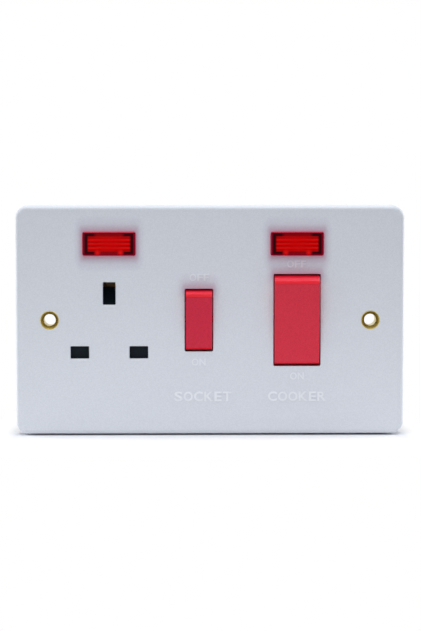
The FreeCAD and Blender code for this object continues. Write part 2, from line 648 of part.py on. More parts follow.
def make_lamp(label, x):
    """Neon capsule: a glass tube that narrows to its sealed tip."""
    start = f"{x} - lamp_length / 2"
    shoulder = f"{x} + lamp_length / 2 - lamp_taper"
    tube = rod(f"{label}_tube", "X", (start, "-lamp_depth", "lens_level"), "lamp_radius",
               "lamp_length - lamp_taper")
    end = taper(f"{label}_end", "X", (shoulder, "-lamp_depth", "lens_level"), "lamp_radius", "lamp_tip",
                "lamp_taper")
    named(fuse(label, tube, end), label)


def make_resistor(label, x):
    """Ballast resistor of one lamp, along Y in the lens skirt."""
    named(rod(label, "Y", (x, "-resistor_start", "lead_level"), "resistor_radius", "resistor_length"), label)


def sweep_along(name, points, size, sides):
    """A wire of few-sided section, mitred at each of the given points."""
    path = doc.addObject("Part::Feature", f"{name}_path")
    path.Shape = Part.makePolygon(points)
    section = doc.addObject("Part::RegularPolygon", f"{name}_section")
    section.Polygon = sides
    bind(section, "Circumradius", size)
    along = FreeCAD.Rotation(FreeCAD.Vector(0, 0, 1), points[1] - points[0])
    section.Placement = FreeCAD.Placement(points[0], along)
    sweep = doc.addObject("Part::Sweep", name)
    sweep.Sections = [section]
    sweep.Spine = (path, [])
    sweep.Solid = True
    sweep.Transition = "Right corner"
    return sweep


def make_leads(label, centre, far_points, near_points):
    """The two bare wires of one lamp: one straight back, the other by way of the resistor."""
    depth = -sheet.lamp_depth
    level = sheet.lens_level
    low = sheet.lead_level
    right = centre + sheet.lamp_length / 2
    left = centre - sheet.lamp_length / 2
    out = right + sheet.lead_reach
    back = left - sheet.lead_return
    start = -sheet.resistor_start
    first = [(right, depth, level), (out, depth, level), (out, -sheet.lead_knee, low)]
    bend = start - sheet.resistor_tail
    second = [(left, depth, level), (back, depth, level), (back, bend, low), (back, start, low)]
    third = [(back, start + sheet.resistor_length, low)]
    first += [(x or out, y, z) for x, y, z in far_points]
    third += [(x or back, y, z) for x, y, z in near_points]
    wires = []
    for i, route in enumerate((first, second, third)):
        points = [FreeCAD.Vector(*point) for point in route]
        wires.append(sweep_along(f"{label}_{i}", points, "lead_radius", 6))
    named(group(label, *wires), label)


def make_all_leads():
    """Wires of the cooker lamp to the load terminals, and of the socket lamp to the socket's strips."""
    low = sheet.lead_level
    block = sheet.block_front
    make_leads("cooker_neon_leads", cooker_centre, [(None, block, low)], [(None, block, low)])
    floor = sheet.lead_floor
    strip = sheet.strip_level - sheet.lead_radius
    run = switch_centre - sheet.run_wire
    clip = socket_centre - sheet.pin_spread
    line_route = [
        (None, floor, low),
        (run, floor, sheet.lead_drop),
        (run, strip, sheet.line_joint_head),
        (run, strip, sheet.line_joint_foot),
    ]
    neutral_route = [
        (None, floor, low),
        (None, floor, -sheet.neutral_bend),
        (clip + sheet.joint_start, strip, -sheet.neutral_joint),
        (clip - sheet.joint_end, strip, -sheet.neutral_joint),
    ]
    make_leads("socket_neon_leads", socket_centre, line_route, neutral_route)


def make_carrier():
    """Moulded middle piece: shutter bed, wells for the clips, rocker chambers and bearings."""
    carrier = Piece("contact_carrier")
    front = rect(CASE_LEFT, CASE_RIGHT, "-case_height", "carrier_top")
    carrier.pad("XZ", INNER, "carrier_step + overlap", front)
    flange = rect(CASE_LEFT, CASE_RIGHT, "-case_height", "case_height")
    carrier.pad("XZ", "carrier_step", "carrier_back", flange)
    carrier.round("case_corner", runs_along_y)
    before = f"{INNER} - past"
    behind = "carrier_back + past"
    side = "(shutter_half + bed_gap)"
    foot = "-shutter_foot - shutter_travel - bed_end_gap"
    shoulder = "bed_end_gap - shutter_top"
    stem = "(ramp_half + stem_margin + bed_gap)"
    head = "earth_height + bed_head"
    bed = [
        (f"{SOCKET_X} - {side}", foot),
        (f"{SOCKET_X} + {side}", foot),
        (f"{SOCKET_X} + {side}", shoulder),
        (f"{SOCKET_X} + {stem}", shoulder),
        (f"{SOCKET_X} + {stem}", head),
        (f"{SOCKET_X} - {stem}", head),
        (f"{SOCKET_X} - {stem}", shoulder),
        (f"{SOCKET_X} - {side}", shoulder),
    ]
    carrier.cut("XZ", before, "-bed_depth", bed)
    reach = "(ramp_half + bed_gap)"
    bottom = "ramp_foot - shutter_travel - ramp_room"
    slot = rect(f"{SOCKET_X} - {reach}", f"{SOCKET_X} + {reach}", bottom, head)
    carrier.cut("XZ", before, "ramp_slot_back", slot)
    groove = rect(f"{SOCKET_X} - coil_half", f"{SOCKET_X} + coil_half",
                  "-coil_seat", "-shutter_top - coil_head")
    carrier.cut("XZ", before, "coil_room - coil_depth", groove)
    earth = about(SOCKET_X, "earth_well_half", "earth_height", "earth_well_reach")
    carrier.cut("XZ", "0", behind, earth)
    wells = [about(x, "clip_half + well_gap", PIN_Z, "well_half") for x in (LINE_X, NEUTRAL_X)]
    carrier.cut("XZ", before, behind, *wells)
    switch = about(SWITCH_X, "switch_opening_width / 2", "0", "switch_opening_height / 2 + chamber_gap")
    carrier.cut("XZ", before, behind, switch)
    cooker = about(COOKER_X, "cooker_opening_width / 2", "0", "cooker_opening_height / 2 + chamber_gap")
    carrier.cut("XZ", before, "chamber_floor", cooker)
    poles = [about(x, "contact_width / 2 + well_gap", "0", "pole_reach") for x in (LINE_POLE, NEUTRAL_POLE)]
    carrier.cut("XZ", before, behind, *poles)
    cut_bearing(carrier, SWITCH_X, "switch_opening_width / 2", "switch_pivot", "switch_trunnion")
    cut_bearing(carrier, COOKER_X, "cooker_opening_width / 2", "cooker_pivot", "cooker_trunnion")
    carrier.cut("XZ", before, "-boss_end", *[(x, z, "boss_radius + boss_fit") for x, z in SCREWS])
    carrier.cut("XZ", before, behind, *[(x, z, "screw_radius + screw_clearance") for x, z in SCREWS])
    holes = []
    for x in (SOCKET_X, COOKER_X):
        holes.append((f"{x} + lamp_length / 2 + lead_reach", "lead_level", "lead_hole"))
        holes.append((f"{x} - lamp_length / 2 - lead_return", "lead_level", "lead_hole"))
    carrier.cut("XZ", "carrier_step - past", behind, *holes)


def cut_bearing(carrier, x, half_width, pivot, trunnion):
    """Round-bottomed notch, open to the front, for the trunnions of one rocker."""
    radius = f"({trunnion} + trunnion_fit)"
    low = f"{x} - {half_width} - bearing_reach"
    high = f"{x} + {half_width} + bearing_reach"
    carrier.cut("YZ", low, high, (f"-{pivot}", "0", radius))
    carrier.cut("YZ", low, high, rect(f"{INNER} - past", f"-{pivot}", f"-{radius}", radius))


def make_rocker(label, x, width, height, pivot, proud, trunnion, stalks):
    """Red moulding with arc ends about its axis, hollow behind, with trunnions and plunger stalks."""
    rocker = Piece(label)
    axis = f"(-{pivot})"
    radius = f"sqrt(({height} / 2 - rocker_end_gap) ^ 2 + (plate_depth - face_thickness - {pivot}) ^ 2)"
    face = f"(-plate_depth - {proud})"
    half = f"({width} / 2 - rocker_gap)"
    skirt = f"({axis} + skirt_drop)"
    rocker.rocker("Pad", axis, radius, face, skirt, f"{x} - {half}", f"{x} + {half}")
    front = -sheet.plate_depth - getattr(sheet, proud)
    rocker.round("rocker_edge", lambda edge: edge.BoundBox.YMax < front + 0.01)
    inner = f"({half} - rocker_wall)"
    rocker.rocker("Pocket", axis, f"{radius} - rocker_wall", f"{face} + rocker_face", f"{skirt} + overlap",
                  f"{x} - {inner}", f"{x} + {inner}")
    stalk_end = "contact_level - stalk_gap"
    for place in stalks:
        rocker.pad("XZ", f"{face} + overlap", stalk_end, about(place, "stalk_half", "0", "stalk_half"))
        bore = (place, "0", "plunger_radius + plunger_fit")
        rocker.cut("XZ", f"{face} + rocker_face + spring_seat", f"{stalk_end} + past", bore)
    rocker.pad("YZ", f"{x} + {half} - overlap", f"{x} + {half} + trunnion_length", (axis, "0", trunnion))
    rocker.pad("YZ", f"{x} - {half} - trunnion_length", f"{x} - {half} + overlap", (axis, "0", trunnion))
    tilt(rocker.body, axis, "rocker_tilt")
    for place, name in stalks.items():
        make_plunger(f"{name}_plunger", place, axis)
        make_plunger_spring(f"{name}_spring", place, axis, face)


def make_plunger(label, x, axis):
    """Pin in a stalk's bore, its round nose riding on the see-saw."""
    tip = "(contact_level - plunger_gap)"
    shaft = rod(f"{label}_shaft", "Y", (x, f"{tip} - plunger_length", "0"), "plunger_radius",
                "plunger_length - plunger_radius")
    nose = ball(f"{label}_nose", (x, f"{tip} - plunger_radius", "0"), "plunger_radius")
    plunger = named(fuse(label, shaft, nose), label)
    tilt(plunger, axis, "rocker_tilt")


def make_coil(label, radius, length, turns):
    """A wound spring along Z from the origin, ten short straights of square wire to a turn."""
    wire = sheet.spring_wire
    count = 10 * turns
    points = []
    for i in range(count + 1):
        turn = 2 * math.pi * i / 10
        rise = wire + (length - 2 * wire) * i / count
        points.append(FreeCAD.Vector(radius * math.cos(turn), radius * math.sin(turn), rise))
    return sweep_along(f"{label}_coil", points, "spring_wire", 4)


def make_plunger_spring(label, x, axis, face):
    """Plunger spring between the rocker's front wall and the plunger."""
    seat = f"({face} + rocker_face + spring_seat)"
    head = sheet.contact_level - sheet.plunger_gap - sheet.plunger_length
    proud = sheet.cooker_proud if "cooker" in label else sheet.switch_proud
    foot = sheet.rocker_face + sheet.spring_seat - sheet.plate_depth - proud
    coil = make_coil(label, sheet.spring_radius, head - foot, 4)
    upright = FreeCAD.Rotation(FreeCAD.Vector(1, 0, 0), -90)
    coil.Placement = FreeCAD.Placement(FreeCAD.Vector(0, 0, 0), upright)
    bind(coil, "Placement.Base.x", x)
    bind(coil, "Placement.Base.y", seat)
    spring = named(group(label, coil), label)
    tilt(spring, axis, "rocker_tilt")


def make_moving_contact(label, x):
    """See-saw bar with a half-round groove over its fulcrum post, and its silver tip."""
    bar = Piece(f"{label}_moving_contact")
    back = "contact_level + contact_thickness"
    half = "contact_width / 2"
    side = rect("contact_level", back, "-contact_tail", "contact_arm + contact_overhang")
    bar.pad("YZ", f"{x} - {half}", f"{x} + {half}", side)
    groove = (FULCRUM, "0", "fulcrum_radius + fulcrum_fit")
    bar.cut("YZ", f"{x} - {half} - past", f"{x} + {half} + past", groove)
    tilt(bar.body, FULCRUM, "-contact_tilt")
    button = rod(f"{label}_moving_button", "Y", (x, back, "contact_arm"), "tip_radius", "tip_height")
    dome = ball(f"{label}_moving_dome", (x, f"{back} + tip_height - tip_dome", "contact_arm"), "tip_dome")
    tip = doc.addObject("Part::Common", f"{label}_moving_tip")
    tip.Base = button
    tip.Tool = dome
    named(tip, f"{label}_moving_tip")
    tilt(tip, FULCRUM, "-contact_tilt")
    reach = "(tip_height - fulcrum_drop - tip_dome) * cos(contact_tilt) + contact_arm * sin(contact_tilt)"
    meet = f"({FULCRUM} + {reach} + tip_dome + contact_gap)"
    fixed = rod(f"{label}_fixed_tip", "Y", (x, meet, "contact_arm"), "tip_radius", f"strip_level - {meet}")
    named(fixed, f"{label}_fixed_tip")


def add_post(strip, x):
    """Fulcrum post: a web up from the strip with a round nose along X."""
    half = "(contact_width / 2 - post_margin)"
    web = rect(FULCRUM, "strip_level + overlap", "-fulcrum_radius", "fulcrum_radius")
    strip.pad("YZ", f"{x} - {half}", f"{x} + {half}", web)
    strip.pad("YZ", f"{x} - {half}", f"{x} + {half}", (FULCRUM, "0", "fulcrum_radius"))


def add_block(terminal, x, side):
    """Terminal block with a blind wire bore from its outer end and a clamp screw hole from the back."""
    low, high = ("block_low", "block_high") if side > 0 else ("-block_high", "-block_low")
    half = "block_width / 2"
    terminal.pad("XZ", "block_front", "block_back", rect(f"{x} - {half}", f"{x} + {half}", low, high))
    mouth = (x, "wire_depth", "wire_radius")
    if side > 0:
        terminal.cut("XY", "block_high - wire_length", "block_high + past", mouth)
    else:
        terminal.cut("XY", "-block_high - past", "-block_high + wire_length", mouth)
    level = "clamp_level" if side > 0 else "-clamp_level"
    terminal.cut("XZ", "wire_depth", "block_back + past", (x, level, "clamp_radius + thread_fit"))


def make_supply_terminal(label, pole, place):
    """Lower terminal: block, strip and fulcrum post in one brass piece."""
    terminal = Piece(label)
    half = "contact_width / 2"
    strip = rect(f"{pole} - {half}", f"{pole} + {half}", "-block_low - overlap", "post_head")
    terminal.pad("XZ", "strip_level", FLOOR, strip)
    add_post(terminal, pole)
    add_block(terminal, place, -1)


def make_load_terminal(label, pole, place):
    """Upper terminal: block and strip in one brass piece, under the fixed tip."""
    terminal = Piece(label)
    half = "contact_width / 2"
    strip = rect(f"{pole} - {half}", f"{pole} + {half}", "load_foot", "block_low + overlap")
    terminal.pad("XZ", "strip_level", FLOOR, strip)
    add_block(terminal, place, 1)


def leaf(start, end, middle, sign):
    """Side view of one clip leaf, spread at its mouth: along Y first, then away from the pin."""
    near = f"{middle} {sign} clip_gap"
    far = f"{middle} {sign} (clip_gap + clip_leaf)"
    knee = f"{start} + clip_mouth"
    spread = f"{sign} clip_flare"
    return [(start, f"{near} {spread}"), (knee, near), (end, near),
            (end, far), (knee, far), (start, f"{far} {spread}")]


def add_clip(contact, x):
    """Two leaves that grip a line or neutral pin from above and below."""
    for sign in ("+", "-"):
        shape = leaf("clip_start", "strip_level + overlap", PIN_Z, sign)
        contact.pad("YZ", f"{x} - clip_half", f"{x} + clip_half", shape)


def make_pin_contacts():
    """Brass strips with the clips for the plug's pins."""
    line = Piece("line_pin_contact")
    left = f"{LINE_X} - clip_half"
    near = f"{SWITCH_X} - run_near"
    far = f"{SWITCH_X} - run_far"
    end = f"{SWITCH_X} + arm_reach"
    path = [
        (left, f"{PIN_Z} - line_foot"),
        (near, f"{PIN_Z} - line_foot"),
        (near, "arm_low"),
        (end, "arm_low"),
        (end, "arm_high"),
        (far, "arm_high"),
        (far, f"{PIN_Z} + line_foot"),
        (left, f"{PIN_Z} + line_foot"),
    ]
    line.pad("XZ", "strip_level", FLOOR, path)
    add_clip(line, LINE_X)
    neutral = Piece("neutral_pin_contact")
    path = [
        (f"{NEUTRAL_X} - clip_half", "-neutral_foot"),
        (BLOCK_SIDE, "-neutral_foot"),
        (BLOCK_SIDE, "-neutral_top"),
        (f"{NEUTRAL_X} + clip_half", "-neutral_top"),
        (f"{NEUTRAL_X} + clip_half", f"{PIN_Z} + neutral_head"),
        (f"{NEUTRAL_X} - clip_half", f"{PIN_Z} + neutral_head"),
    ]
    neutral.pad("XZ", "strip_level", FLOOR, path)
    add_clip(neutral, NEUTRAL_X)
    earth = Piece("earth_pin_contact")
    low = "earth_height - earth_clip_low"
    half = "(clip_gap + clip_leaf)"
    web = rect(f"{SOCKET_X} - {half}", f"{SOCKET_X} + {half}", low, "block_low + overlap")
    earth.pad("XZ", "earth_clip_end", "earth_clip_end + strip_thickness", web)
    for sign in ("+", "-"):
        shape = [(x, y) for y, x in leaf("earth_clip_start", "earth_clip_end + overlap", SOCKET_X, sign)]
        earth.pad("XY", low, "earth_height + earth_clip_high", shape)
    add_block(earth, SOCKET_X, 1)


def make_links():
    """Line strap from the supply terminal to the socket switch, and the post its see-saw rocks on."""
    fulcrum = Piece("socket_fulcrum")
    half = "contact_width / 2"
    strip = rect(f"{SWITCH_X} - {half}", f"{SWITCH_X} + {half}", "-link_foot", "post_head")
    fulcrum.pad("XZ", "strip_level", FLOOR, strip)
    add_post(fulcrum, SWITCH_X)
    link = Piece("line_link")
    left = f"{SWITCH_X} - link_margin"
    right = f"{LINE_POLE} + link_margin"
    under = "strip_level - link_rise + strip_thickness"
    bent = [
        (left, "strip_level"),
        (left, "strip_level - link_rise"),
        (right, "strip_level - link_rise"),
        (right, "strip_level"),
        (f"{right} - link_pad", "strip_level"),
        (f"{right} - link_pad", under),
        (f"{left} + link_pad", under),
        (f"{left} + link_pad", "strip_level"),
    ]
    link.pad("XY", "-link_foot", "-link_head", bent)


def make_earth_strap():
    """Ring under the left bush's step, an arm up and round the carrier to the earth block."""
    strap = Piece("earth_strap")
    bush = f"(-{FIXING_X})"
    near = "-pillar_end"
    far = "-strap_back"
    strap.pad("XZ", near, far, (bush, "0", "strap_ring"))
    strap.pad("XZ", near, far, rect(f"{bush} - strap_arm", f"{bush} + strap_arm", "strap_root", "strap_high"))
    inner = f"{CASE_LEFT} - strap_gap"
    outer = f"{inner} - strip_thickness"
    end = f"{SOCKET_X} - block_width / 2"
    back = "block_front + strip_thickness"
    bent = [
        (f"{bush} - strap_arm", near),
        (inner, near),
        (inner, "block_front"),
        (end, "block_front"),
        (end, back),
        (outer, back),
        (outer, far),
        (f"{bush} - strap_arm", far),
    ]
    strap.pad("XY", "strap_low", "strap_high", bent)
    strap.cut("XZ", "-pillar_end - past", "past", (bush, "0", "bush_tail + bush_fit"))


TERMINALS = [(LINE_BLOCK, 1), (NEUTRAL_BLOCK, 1), (LINE_BLOCK, -1), (NEUTRAL_BLOCK, -1), (SOCKET_X, 1)]


def make_cover():
    """Moulded back: tray for the strips, housings for the terminals, wire windows, screw pillars."""
    cover = Piece("rear_cover")
    cover.pad("XZ", "carrier_back", "cover_back", rect(CASE_LEFT, CASE_RIGHT, "-case_height", "case_height"))
    cover.round("case_corner", runs_along_y)
    half = "(block_offset + block_width / 2 + housing_margin)"
    inner = "(block_low - housing_inner)"
    top = rect(f"{COOKER_X} - {half}", f"{COOKER_X} + {half}", inner, "case_height")
    bottom = rect(f"{COOKER_X} - {half}", f"{COOKER_X} + {half}", "-case_height", f"-{inner}")
    earth = rect(f"{SOCKET_X} - earth_housing_half", f"{SOCKET_X} + earth_housing_half",
                 "earth_height - earth_housing_low", "case_height")
    cover.pad("XZ", "cover_back - overlap", "housing_back", top, bottom, earth)
    far = sheet.housing_back - 0.01
    cover.round("housing_corner", lambda edge: runs_along_y(edge) and edge.BoundBox.YMax > far)
    front = "carrier_back - past"
    tray = rect(f"{CASE_LEFT} + cover_wall", f"{CASE_RIGHT} - cover_wall",
                "cover_wall - case_height", "case_height - cover_wall")
    cover.cut("XZ", front, FLOOR, tray)
    pockets = []
    access = []
    wide = "(block_width / 2 + pocket_gap)"
    for x, side in TERMINALS:
        ends = ("block_low - pocket_gap", "block_high + pocket_end_gap")
        if side < 0:
            ends = ("-block_high - pocket_end_gap", "pocket_gap - block_low")
        pockets.append(rect(f"{x} - {wide}", f"{x} + {wide}", *ends))
        access.append((x, "clamp_level" if side > 0 else "-clamp_level", "access_radius"))
    cover.cut("XZ", front, "pocket_back", *pockets)
    clip = rect(f"{SOCKET_X} - clip_room_half", f"{SOCKET_X} + clip_room_half",
                "earth_height - earth_well_reach", "block_low")
    cover.cut("XZ", front, "earth_clip_end + strip_thickness + pocket_end_gap", clip)
    for x, side in TERMINALS:
        ends = ("block_high - past", "case_height + past")
        if side < 0:
            ends = ("-case_height - past", "past - block_high")
        cover.cut("XY", *ends, (x, "wire_depth", "window_radius"))
    cover.cut("XZ", "pocket_back - past", "housing_back + past", *access)
    cover.pad("XZ", "carrier_back", f"{FLOOR} + overlap", *[(x, z, "boss_radius") for x, z in SCREWS])
    hole = "screw_radius + screw_clearance"
    cover.cut("XZ", front, "cover_back + past", *[(x, z, hole) for x, z in SCREWS])
    slot = rect(front, "block_front + strip_thickness + strap_room",
                "strap_low - strap_room", "strap_high + strap_room")
    cover.cut("YZ", f"{CASE_LEFT} - past", f"{CASE_LEFT} + cover_wall + past", slot)


def make_screw(name, x, z, start, seat, radius, head, thick):
    """Slotted screw along Y: thread, head and screwdriver slot."""
    shank = rod(f"{name}_shank", "Y", (x, start, z), radius, f"{seat} - ({start}) + overlap")
    top = rod(f"{name}_head", "Y", (x, seat, z), head, thick)
    back = f"{seat} + {thick}"
    groove = block(f"{name}_slot", f"{x} - {head} - past", f"{x} + {head} + past",
                   f"{back} - groove_depth", f"{back} + past", f"{z} - groove_half", f"{z} + groove_half")
    return minus(name, fuse(f"{name}_blank", shank, top), groove)


def make_screws():
    """Four screws that hold plate, carrier and cover together, and five terminal clamps."""
    holding = []
    for i, (x, z) in enumerate(SCREWS):
        holding.append(make_screw(f"assembly_screw_{i}", x, z, "-screw_end", "cover_back",
                                  "screw_radius", "screw_head", "screw_thick"))
    named(group("assembly_screws", *holding), "assembly_screws")
    clamps = []
    start = "wire_depth + wire_radius + clamp_end_gap"
    for i, (x, side) in enumerate(TERMINALS):
        level = "clamp_level" if side > 0 else "(-clamp_level)"
        clamps.append(make_screw(f"terminal_screw_{i}", x, level, start, "block_back",
                                 "clamp_radius", "clamp_head", "clamp_thick"))
    named(group("terminal_screws", *clamps), "terminal_screws")


def make_shutter():
    """Black sliding shutter: crossbar over the line and neutral slots, stem, ramp under the earth slot."""
    shutter = Piece("shutter")
    front = "-shutter_front"
    back = "-shutter_back"
    stem = "(ramp_half + stem_margin)"
    flat = [
        (f"{SOCKET_X} - shutter_half", "-shutter_foot"),
        (f"{SOCKET_X} + shutter_half", "-shutter_foot"),
        (f"{SOCKET_X} + shutter_half", "-shutter_top"),
        (f"{SOCKET_X} + {stem}", "-shutter_top"),
        (f"{SOCKET_X} + {stem}", "ramp_foot"),
        (f"{SOCKET_X} - {stem}", "ramp_foot"),
        (f"{SOCKET_X} - {stem}", "-shutter_top"),
        (f"{SOCKET_X} - shutter_half", "-shutter_top"),
    ]
    shutter.pad("XZ", front, back, flat)
    deep = f"{front} + ramp_rise"
    wedge = [
        (front, "ramp_foot - ramp_root"),
        (front, "ramp_foot"),
        (deep, "ramp_foot + ramp_rise"),
        (deep, "ramp_foot + ramp_rise - ramp_web"),
        (back, "ramp_foot - ramp_under"),
        (back, "ramp_foot - ramp_root"),
    ]
    shutter.pad("YZ", f"{SOCKET_X} - ramp_half", f"{SOCKET_X} + ramp_half", wedge)
    foot = rect(f"{SOCKET_X} - foot_half", f"{SOCKET_X} + foot_half",
                "-shutter_foot", "foot_height - shutter_foot")
    shutter.pad("XZ", front, "foot_back - coil_depth", foot)
    peg = (SOCKET_X, "-coil_depth", "peg_radius")
    shutter.pad("XY", "-shutter_foot - peg_length", "overlap - shutter_foot", peg)
    coil = make_coil("shutter_spring", sheet.coil_radius, sheet.coil_seat - sheet.shutter_foot, 6)
    bind(coil, "Placement.Base.x", SOCKET_X)
    bind(coil, "Placement.Base.y", "-coil_depth")
    bind(coil, "Placement.Base.z", "-coil_seat")
    named(group("shutter_spring", coil), "shutter_spring")


make_face_plate()
make_bush("fixing_bush_left", f"(-{FIXING_X})")
make_bush("fixing_bush_right", FIXING_X)
make_lens("socket_neon_lens", SOCKET_X)
make_lens("cooker_neon_lens", COOKER_X)
make_lamp("socket_neon_lamp", SOCKET_X)
make_lamp("cooker_neon_lamp", COOKER_X)
make_resistor("socket_neon_resistor", f"{SOCKET_X} - lamp_length / 2 - lead_return")
make_resistor("cooker_neon_resistor", f"{COOKER_X} - lamp_length / 2 - lead_return")
make_all_leads()
make_carrier()
make_rocker("cooker_rocker", COOKER_X, "cooker_opening_width", "cooker_opening_height", "cooker_pivot",
            "cooker_proud", "cooker_trunnion", {LINE_POLE: "cooker_line", NEUTRAL_POLE: "cooker_neutral"})
make_rocker("socket_rocker", SWITCH_X, "switch_opening_width", "switch_opening_height", "switch_pivot",
            "switch_proud", "switch_trunnion", {SWITCH_X: "socket"})
make_moving_contact("cooker_line", LINE_POLE)
make_moving_contact("cooker_neutral", NEUTRAL_POLE)
make_moving_contact("socket", SWITCH_X)
make_supply_terminal("line_supply_terminal", LINE_POLE, LINE_BLOCK)
make_supply_terminal("neutral_supply_terminal", NEUTRAL_POLE, NEUTRAL_BLOCK)
make_load_terminal("line_load_terminal", LINE_POLE, LINE_BLOCK)
make_load_terminal("neutral_load_terminal", NEUTRAL_POLE, NEUTRAL_BLOCK)
make_pin_contacts()
make_links()
make_earth_strap()
make_cover()
make_screws()
make_shutter()

doc.recompute()
faults = []
for thing in doc.Objects:
    if "Invalid" in thing.State or "Error" in thing.State:
        faults.append(f"{thing.Name} {thing.State}")
for thing in FINISHED:
    if thing.Shape.isNull() or not thing.Shape.isValid():
        faults.append(f"{thing.Label} has no valid shape")
if faults:
    raise RuntimeError("; ".join(faults))

os.makedirs("parts", exist_ok=True)
for thing in FINISHED:
    thing.Shape.exportStep(f"parts/{thing.Label}.step")
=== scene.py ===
import math
import bpy
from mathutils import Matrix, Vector


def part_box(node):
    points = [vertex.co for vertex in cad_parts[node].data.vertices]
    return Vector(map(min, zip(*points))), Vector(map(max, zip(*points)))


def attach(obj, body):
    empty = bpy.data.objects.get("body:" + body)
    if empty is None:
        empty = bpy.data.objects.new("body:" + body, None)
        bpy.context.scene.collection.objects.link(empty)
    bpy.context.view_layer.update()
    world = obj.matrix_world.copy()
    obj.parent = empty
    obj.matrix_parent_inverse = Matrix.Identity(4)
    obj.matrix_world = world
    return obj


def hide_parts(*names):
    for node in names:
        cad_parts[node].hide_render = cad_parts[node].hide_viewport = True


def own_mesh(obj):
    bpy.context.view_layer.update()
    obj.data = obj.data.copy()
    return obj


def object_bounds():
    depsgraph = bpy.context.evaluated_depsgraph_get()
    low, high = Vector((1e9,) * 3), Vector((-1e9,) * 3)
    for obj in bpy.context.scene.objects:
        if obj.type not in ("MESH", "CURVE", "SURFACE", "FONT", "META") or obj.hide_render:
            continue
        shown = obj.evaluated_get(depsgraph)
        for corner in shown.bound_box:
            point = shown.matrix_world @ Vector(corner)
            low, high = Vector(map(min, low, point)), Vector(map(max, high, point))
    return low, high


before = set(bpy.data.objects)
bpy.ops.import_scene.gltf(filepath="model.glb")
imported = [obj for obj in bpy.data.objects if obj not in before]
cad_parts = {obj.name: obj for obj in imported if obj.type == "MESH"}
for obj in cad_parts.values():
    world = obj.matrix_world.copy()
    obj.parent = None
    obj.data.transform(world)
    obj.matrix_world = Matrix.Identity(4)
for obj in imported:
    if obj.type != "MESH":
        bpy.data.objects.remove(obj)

cad_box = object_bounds()


# Face plate: the white front of the unit, a double plate pressed from thermoset plastic.
# Its face keeps the fine grain of the mould, and the words by the switches stand up from it,
# polished and painted lighter than the plate, a painted sheen. Round the lenses and over the
# rockers the white is painted with shade and a red glow. Four screws from behind hold the
# carrier and the cover to it.
def new_finish(name):
    """A fresh material, its shader and the piece's own coordinates."""
    finish = bpy.data.materials.new(name)
    finish.use_nodes = True
    place = finish.node_tree.nodes.new("ShaderNodeTexCoord").outputs["Object"]
    return finish, finish.node_tree.nodes["Principled BSDF"], place


def put(tree, value, target):
    """Link a socket to an input, or set a number or a colour on it."""
    if isinstance(value, bpy.types.NodeSocket):
        tree.links.new(value, target)
    else:
        target.default_value = value


def add_node(tree, kind, **inputs):
    """A node with its inputs set by name."""
    node = tree.nodes.new(kind)
    for name, value in inputs.items():
        put(tree, value, node.inputs[name.replace("_", " ")])
    return node


def worked(tree, kind, operation, *values):
    """A maths node on sockets and constants, in order."""
    node = tree.nodes.new(kind)
    node.operation = operation
    for target, value in zip(node.inputs, values):
        put(tree, value, target)
    return node.outputs


def vector(tree, operation, *values):
    """A vector worked out from others."""
    return worked(tree, "ShaderNodeVectorMath", operation, *values)["Vector"]


def length_of(tree, arrow):
    """The length of a vector."""
    return worked(tree, "ShaderNodeVectorMath", "LENGTH", arrow)["Value"]


def spread(tree, mask, from_low, from_high, to_low, to_high):
    """A value that runs between two others over a stretch of a mask."""
    node = add_node(tree, "ShaderNodeMapRange", Value=mask, From_Min=from_low, From_Max=from_high,
                    To_Min=to_low, To_Max=to_high)
    return node.outputs["Result"]


def ramp(tree, mask, *stops):
    """A colour ramp over a mask, from pairs of place and colour."""
    node = add_node(tree, "ShaderNodeValToRGB", Fac=mask)
    band = node.color_ramp
    while len(band.elements) < len(stops):
        band.elements.new(0.5)
    for element, (place, colour) in zip(band.elements, stops):
        element.position = place
        element.color = (*colour, 1.0)
    return node.outputs["Color"]


def bumped(tree, shader, height, strength, distance):
    """Relief on a finish, from a mask of heights."""
    node = add_node(tree, "ShaderNodeBump", Height=height, Strength=strength, Distance=distance)
    put(tree, node.outputs["Normal"], shader.inputs["Normal"])


def grain_group():
    """Grain of a worked face: a fine height, a fine speckle and a slow drift of tone."""
    group = bpy.data.node_groups.new("surface_grain", "ShaderNodeTree")
    group.interface.new_socket("Place", in_out="INPUT", socket_type="NodeSocketVector")
    for name in ("Grain", "Drift"):
        group.interface.new_socket(name, in_out="INPUT", socket_type="NodeSocketFloat")
    entry = group.nodes.new("NodeGroupInput").outputs
    leave = group.nodes.new("NodeGroupOutput").inputs
    for outlet, scale, detail in (("Height", "Grain", 2.0), ("Speckle", "Grain", 0.0),
                                  ("Tone", "Drift", 3.0)):
        group.interface.new_socket(outlet, in_out="OUTPUT", socket_type="NodeSocketFloat")
        noise = add_node(group, "ShaderNodeTexNoise", Vector=entry["Place"], Scale=entry[scale],
                         Detail=detail)
        put(group, noise.outputs["Fac"], leave[outlet])
    return group


def grained(tree, place, grain, drift):
    """The grain, placed in a finish at its own scales."""
    node = tree.nodes.new("ShaderNodeGroup")
    node.node_tree = bpy.data.node_groups.get("surface_grain") or grain_group()
    for name, value in (("Place", place), ("Grain", grain), ("Drift", drift)):
        put(tree, value, node.inputs[name])
    return node.outputs


tone_low, tone_high = 0.3, 0.7
mould_grain = 2600.0
mould_drift = 60.0
mould_depth = 0.00006


def moulded(name, dark, light, smooth, matte, relief=0.25):
    """A moulded plastic: speckled colour, a slow drift of gloss and a fine grain in relief."""
    finish, shader, place = new_finish(name)
    tree = finish.node_tree
    marks = grained(tree, place, mould_grain, mould_drift)
    colour = ramp(tree, marks["Speckle"], (tone_low, dark), (tone_high, light))
    gloss = spread(tree, marks["Tone"], tone_low, tone_high, smooth, matte)
    put(tree, colour, shader.inputs["Base Color"])
    put(tree, gloss, shader.inputs["Roughness"])
    bumped(tree, shader, marks["Height"], relief, mould_depth)
    return finish, shader


def wear(finish, *names):
    """Put a finish on CAD nodes."""
    for name in names:
        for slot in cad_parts[name].material_slots:
            slot.material = finish


